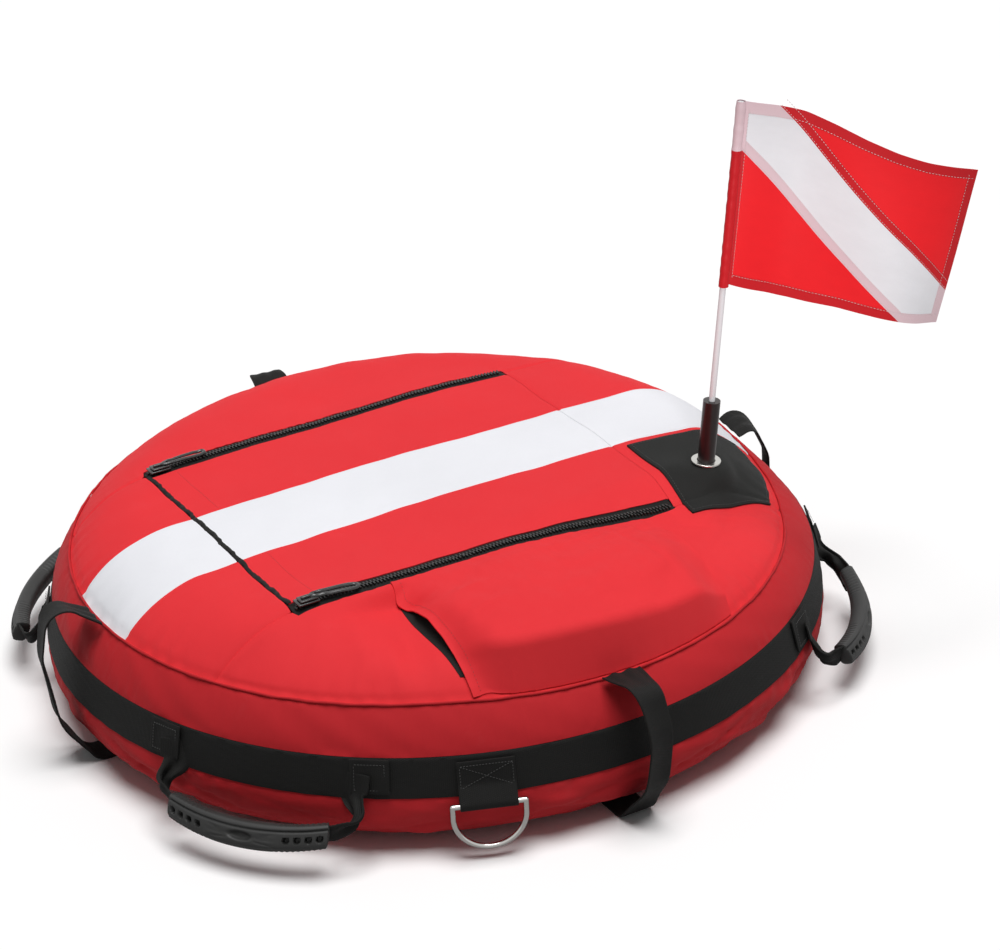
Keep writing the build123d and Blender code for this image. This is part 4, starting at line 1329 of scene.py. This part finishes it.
class BUOY_OT_straps(bpy.types.Operator):
    """Bends the four strap handles and the keel webs that run on to the line ring"""

    bl_idname = "buoy.straps"
    bl_label = "Strap handles"

    def execute(self, context):
        for number, (name, degrees) in enumerate(STRAPS.items()):
            line = rounded(STRAP_LINES[name], (17, 60, 60, 18))

            def sway(u, v, number=number, name=name):
                free = step_up(v, 0.06, 0.25) * step_up(1 - v, 0.30, 0.45)
                cup = -1.6 * (2 * u - 1) ** 2 * free * (1 + 0.5 * math.sin(number))
                lean = STRAP_LEAN[name] * np.sin(math.pi * np.clip(v / 0.75, 0, 1)) ** 0.7
                twist = -(u - 0.5) * 33.0 * np.sin(lean)
                narrow = (u - 0.5) * 34.0 * (np.cos(lean) - 1) - (u - 0.5) * 5.0 * free
                pleats = 1.1 * np.sin(2 * math.pi * 2.5 * u + number) * (1 - step_up(v, 0.02, 0.16))
                wave = 1.6 * np.sin(2 * math.pi * (1.4 * v + 0.21 * number)) * free
                drift = STRAP_DRIFT[name] * np.sin(math.pi * np.clip(v * 1.2, 0, 1)) * free
                root = (u - 0.5) * 6.0 * (1 - step_up(v, 0.02, 0.14))
                return cup + twist + wave + pleats, narrow + drift + root

            strap = ribbon(f"strap_handle_{name}", line, 36.0, degrees, 1.9, sway, 14)
            done(strap, "buoy", "web", [f"strap_{name}"])
        eye = [(342.8, 1.0), (32.0, 1.0), (28.3, 4.7), (32.0, 8.6), (43.0, 8.6), (50.0, 3.4), (62.0, 3.2)]
        keel = rounded(eye, (1, 3.6, 3.6, 6, 5))
        webs = [ribbon("keel", keel, 24.5, degrees, 1.8, None, 6, 4) for degrees in STRAPS.values()]
        done(joined("keel_webbing", webs), "buoy", "web", ["keel_webs"])
        dressed("line_ring", "steel")
        return {"FINISHED"}


def band_r(height):
    """Radius of the waist band's outer face at a height."""
    return BAND_FOOT_R + (height - BAND_FOOT_Z) / BAND_RISE * (BAND_TOP_R - BAND_FOOT_R) + 1.0


def box_rows(width, high, low, degrees, out, cross=True):
    """Box stitching on a tab: its four sides and, if asked, the two diagonals."""
    half = width / 2
    corners = [(-half, high), (half, high), (half, low), (-half, low), (-half, high)]
    runs = list(zip(corners, corners[1:]))
    if cross:
        runs += [((-half, high), (half, low)), ((half, high), (-half, low))]
    rows = []
    for (y0, z0), (y1, z1) in runs:
        share = np.linspace(0, 1, 20)
        z = z0 + (z1 - z0) * share
        points = np.column_stack([band_r(z) + out, y0 + (y1 - y0) * share, z])
        up = turned(np.array([[1.0, 0.0, 0.19]]), degrees)[0]
        rows.append((turned(points, degrees), up))
    return rows


class BUOY_OT_drings(bpy.types.Operator):
    """Sews the two D-ring tabs round their bars and polishes the rings"""

    bl_idname = "buoy.drings"
    bl_label = "D-rings"

    def execute(self, context):
        eye, round_bar = DRING_WIRE_R + 1.4, np.linspace(0, math.pi, 12)
        line = [
            (band_r(103) + 3.3, 103), (band_r(80) + 3.4, 80), (DRING_R + eye, 63),
            *((DRING_R + eye * math.cos(a), DRING_Z - eye * math.sin(a)) for a in round_bar),
            (band_r(72) + 1.3, 72), (band_r(101) + 1.2, 101),
        ]

        def sway(u, v):
            edge = 0.7 * np.exp(-np.minimum(u, 1 - u) * 14)
            middle = 0.5 * np.sin(math.pi * u) * np.sin(math.pi * v / 0.42)
            return (edge + middle) * (v < 0.42), 0.0

        tabs, rows = [], []
        for name, degrees in DRINGS.items():
            tabs.append(ribbon("tab", np.array(line), 55.0, degrees, 1.6, sway, 18, 2.2))
            rows += box_rows(50.0, 99.0, 77.0, degrees, 4.6)
            dressed(f"dring_{name}", "steel")
        done(joined("dring_tab_webbing", tabs), "buoy", "web", ["dring_tabs"])
        sewn("dring_tab_stitches", rows, "buoy", "thread_black", 3.0, 2.3, 0.4)
        return {"FINISHED"}


class BUOY_OT_grips(bpy.types.Operator):
    """Sews the grip tabs and gathered webbing, and dresses the moulded grips"""

    bl_idname = "buoy.grips"
    bl_label = "Grips"

    def execute(self, context):
        line = rounded([(band_r(107) + 2.0, 107), (band_r(90) + 3.0, 90), (band_r(74) + 3.4, 74)], (30,))

        def sway(u, v):
            return 0.8 * np.sin(2 * math.pi * u) * np.sin(math.pi * v) + 0.5 * np.cos(math.pi * u), 0.0

        tabs, rows = [], []
        for name, degrees in GRIPS.items():
            for side in (-1, 1):
                at = degrees + side * GRIP_TAB_DEG
                tabs.append(ribbon("tab", line, 37.5, at, 1.9, sway, 14, 2.4))
                rows += box_rows(29.0, 103.0, 78.0, at, 4.6, False)
            legs = [self.leg(degrees, side) for side in (-1, 1)]
            body = f"grip_{name}"
            webs = joined(f"{body}_gathered_webbing", legs)
            start, end = (turned(np.array([[404.0, 0.0, 84.0], [408.0, 0.0, 58.0]]), degrees) * MM).tolist()
            done(webs, (("buoy", body), tuple(start), tuple(end)), "web", [f"{body}_webs"])
            done(self.rubber(f"{body}_moulding", degrees), body, "grip", [f"{body}_rubber"], angle=60)
        done(joined("grip_tab_webbing", tabs), "buoy", "web", ["grip_tabs"])
        sewn("grip_tab_stitches", rows, "buoy", "thread_black", 3.0, 2.3, 0.4)
        return {"FINISHED"}

    def leg(self, degrees, side):
        """Webbing that leaves its tab, gathers below the band and turns on edge into the rubber."""
        upright = np.array([math.sin(GRIP_SLOPE), 0.0, math.cos(GRIP_SLOPE)])

        def on_band(offset, height, out):
            a, r = math.radians(offset), band_r(height) + out
            return (r * math.cos(a), side * r * math.sin(a), height)

        line = rounded(
            [
                on_band(13.4, 93, 1.4), on_band(13.2, 71, 3.4),
                (412.0, side * 107.0, 54.0), (427.0, side * 86.0, 46.4), (432.5, side * 69.0, 44.6),
            ],
            (14, 12, 12),
        )
        length = run_of(line)[-1]

        def lay(u, v):
            at, heading = follow(line, v * length)
            share = step_up(v, 0.30, 0.78)[:, None]
            flat = np.array([0.0, side * 0.86, 0.5])
            across = (1 - share) * flat + share * upright
            across -= heading * np.sum(across * heading, axis=1)[:, None]
            across /= np.linalg.norm(across, axis=1)[:, None]
            face = np.cross(heading, across)
            width = 34.0 - 15.0 * step_up(v, 0.12, 0.42) + 3.0 * step_up(v, 0.6, 0.85)
            width -= 4.0 * bell(v - 0.5, 0.12)
            pleat = 3.2 * bell(v - 0.46, 0.20) + 0.2
            cup = pleat * np.cos(2 * math.pi * (u - 0.5) * 1.5) + 0.7 * np.sin(9.0 * v + 5.0 * u)
            points = at + across * ((u - 0.5) * width)[:, None] + face * cup[:, None]
            return turned(points, degrees), np.column_stack([(u - 0.5) * 30, v * length])

        return eased(thick(closed(laid("leg", 20, 44, lay)), 1.7, 0.0), 0.4)

    def rubber(self, name, degrees):
        """A moulded grip: bowed, with a lip over a groove, four holes each side, a dimple and edge ribs."""
        out_way = np.array([math.cos(GRIP_SLOPE), 0.0, -math.sin(GRIP_SLOPE)])
        up_way = np.array([math.sin(GRIP_SLOPE), 0.0, math.cos(GRIP_SLOPE)])
        face_way = out_way * math.cos(GRIP_ROLL) + up_way * math.sin(GRIP_ROLL)
        edge_way = up_way * math.cos(GRIP_ROLL) - out_way * math.sin(GRIP_ROLL)

        def lay(u, v):
            turn = 2 * math.pi * u
            run = np.clip((v - 0.035) / 0.93, 0, 1)
            angle = GRIP_HALF_TURN * (2 * run - 1)
            past = np.clip(np.abs(v - 0.5) - 0.465, 0, None) / 0.035
            shrink = np.sqrt(np.clip(1 - past**2, 0, 1))
            long = angle * GRIP_BOW_R
            c, q = np.cos(turn), np.sin(turn)
            end_lean = 1 - 0.10 * (long / 88) ** 2
            out = 9.2 * np.sign(c) * np.abs(c) ** 0.62 * end_lean
            high = 13.6 * np.sign(q) * np.abs(q) ** 0.72 * end_lean
            face = step_up(c, 0.05, 0.5)
            sunk = 1.5 * bell(high - 6.6, 0.9) - 0.9 * step_up(high, 7.6, 9.0)
            sunk += 0.8 * bell(high + 9.6, 0.8)
            for hole in GRIP_HOLES:
                away = np.hypot(np.abs(long) - hole, high + 1.6)
                sunk += 6.2 * (1 - step_up(away, 2.6, 3.6))
            bowl = np.hypot(long / 13.0, (high + 1.0) / 4.2)
            sunk += 4.6 * (1 - step_up(bowl, 0.55, 1.2))
            reach = step_up(np.abs(long), 10, 18) * step_up(-np.abs(long), -38, -26)
            for lean in (-0.17, 0.0, 0.17):
                sunk += 0.9 * bell(high + 2.2 - lean * np.abs(long), 0.9) * reach
            ribbed = step_up(np.abs(long), 30, 38) * step_up(np.abs(q), 0.86, 0.98)
            high = high * (1 - 0.045 * ribbed * (0.5 - 0.5 * np.cos(2 * math.pi * long / 5.2)))
            out, high = (out - sunk * face) * shrink, high * shrink
            along = GRIP_BOW_R * np.sin(angle) + np.sign(v - 0.5) * past * 3.0 + np.sin(angle) * out
            bow = GRIP_BOW_R * np.cos(angle) - GRIP_CHORD_R
            points = np.array(GRIP_AT) + np.outer(bow, out_way) - np.outer(along, (0.0, 1.0, 0.0))
            points += np.outer(np.cos(angle) * out, face_way) + np.outer(high, edge_way)
            return turned(points, degrees), np.column_stack([u * 75, long])

        return edited(closed(laid(name, 92, 224, lay)), bpy.ops.mesh.normals_make_consistent, inside=False)


class BUOY_OT_stage(bpy.types.Operator):
    """Sets the pale floor, the soft lamps and the camera"""

    bl_idname = "buoy.stage"
    bl_label = "Floor, lamps and camera"

    def execute(self, context):
        floor = added(bpy.ops.mesh.primitive_plane_add, size=16.0, location=(0, 0, 0))
        floor.name = "pale_floor"
        made = Finish("pale_floor", 0.9, Specular_IOR_Level=0.0)
        rays = made.tree.nodes.new("ShaderNodeLightPath")
        seen = Value(made.tree, rays.outputs["Is Camera Ray"])
        made.colour(made.mix(seen, (0.50, 0.50, 0.50, 1.0), (0.97, 0.97, 0.97, 1.0)))
        floor.data.materials.append(made.material)
        self.lamp("overhead_light", "SUN", (0.09, -0.36, 3.0), (0.0, 0.0, 0.0), energy=2.85, angle=math.radians(40))
        self.lamp(
            "flag_light", "SPOT", (-0.55, -2.0, 0.55), (0.33, -0.19, 0.42), energy=96.0,
            spot_size=math.radians(16), spot_blend=0.7, shadow_soft_size=0.12,
        )
        self.sky()
        self.camera()
        return {"FINISHED"}

    def lamp(self, name, kind, at, aim, **settings):
        """A light at a place, aimed at a point."""
        data = bpy.data.lights.new(name, kind)
        for setting, value in settings.items():
            setattr(data, setting, value)
        lamp = bpy.data.objects.new(name, data)
        lamp.location = at
        lamp.rotation_euler = (Vector(aim) - Vector(at)).to_track_quat("-Z", "Y").to_euler()
        bpy.context.scene.collection.objects.link(lamp)

    def sky(self):
        """White behind the object for the camera and in reflections, and a plain even light elsewhere."""
        world = bpy.data.worlds.new("plain_studio")
        bpy.context.scene.world = world
        world.use_nodes = True
        tree = world.node_tree
        tree.nodes.clear()
        rays = tree.nodes.new("ShaderNodeLightPath")
        seen = Value(tree, rays.outputs["Is Camera Ray"]).highest(Value(tree, rays.outputs["Is Glossy Ray"]))
        seen = seen.highest(Value(tree, rays.outputs["Is Transmission Ray"]))
        back = tree.nodes.new("ShaderNodeBackground")
        output = tree.nodes.new("ShaderNodeOutputWorld")
        back.inputs["Color"].default_value = (1.0, 1.0, 1.0, 1.0)
        feed(tree, back.inputs["Strength"], seen * 0.85 + 0.15)
        tree.links.new(back.outputs[0], output.inputs["Surface"])

    def camera(self):
        """The camera that looks from where the photo was taken."""
        ahead = Vector(CAMERA_AHEAD).normalized()
        right = ahead.cross(Vector((0, 0, 1))).normalized()
        up = right.cross(ahead)
        roll = math.radians(CAMERA_ROLL_DEG)
        across = right * math.cos(roll) - up * math.sin(roll)
        above = right * math.sin(roll) + up * math.cos(roll)
        data = bpy.data.cameras.new("photo_view")
        data.lens, data.sensor_width = 108.0, 36.0
        data.clip_start, data.clip_end = 0.05, 100.0
        camera = bpy.data.objects.new("photo_view", data)
        camera.matrix_world = Matrix.Translation(CAMERA_AT) @ Matrix(
            [[across[i], above[i], -ahead[i]] for i in range(3)]
        ).to_4x4()
        bpy.context.scene.collection.objects.link(camera)
        bpy.context.scene.camera = camera
        bpy.context.scene.view_settings.view_transform = "Standard"


MAKERS = (
    BUOY_OT_cover_top,
    BUOY_OT_flap,
    BUOY_OT_zips,
    BUOY_OT_walls,
    BUOY_OT_inside,
    BUOY_OT_pocket,
    BUOY_OT_mast,
    BUOY_OT_flag,
    BUOY_OT_straps,
    BUOY_OT_drings,
    BUOY_OT_grips,
    BUOY_OT_stage,
)


class BUOY_PT_makers(bpy.types.Panel):
    """Lists the buoy's sizes, colours and pieces"""

    bl_idname = "BUOY_PT_makers"
    bl_label = "Freediving buoy"
    bl_space_type = "VIEW_3D"
    bl_region_type = "UI"
    bl_category = "Buoy"

    def draw(self, context):
        for group in (context.scene.buoy_sizes, context.scene.buoy_colours):
            box = self.layout.box()
            for name in group.__annotations__:
                box.prop(group, name)
        for maker in MAKERS:
            self.layout.operator(maker.bl_idname)


CLASSES = (BuoyColours, BuoySizes, *MAKERS, BUOY_PT_makers)


def register():
    for cls in CLASSES:
        bpy.utils.register_class(cls)
    bpy.types.Scene.buoy_colours = bpy.props.PointerProperty(type=BuoyColours)
    bpy.types.Scene.buoy_sizes = bpy.props.PointerProperty(type=BuoySizes)


def unregister():
    del bpy.types.Scene.buoy_sizes
    del bpy.types.Scene.buoy_colours
    for cls in reversed(CLASSES):
        bpy.utils.unregister_class(cls)


def main():
    register()
    for maker in MAKERS:
        group, name = maker.bl_idname.split(".")
        getattr(getattr(bpy.ops, group), name)()


if __name__ == "__main__":
    main()
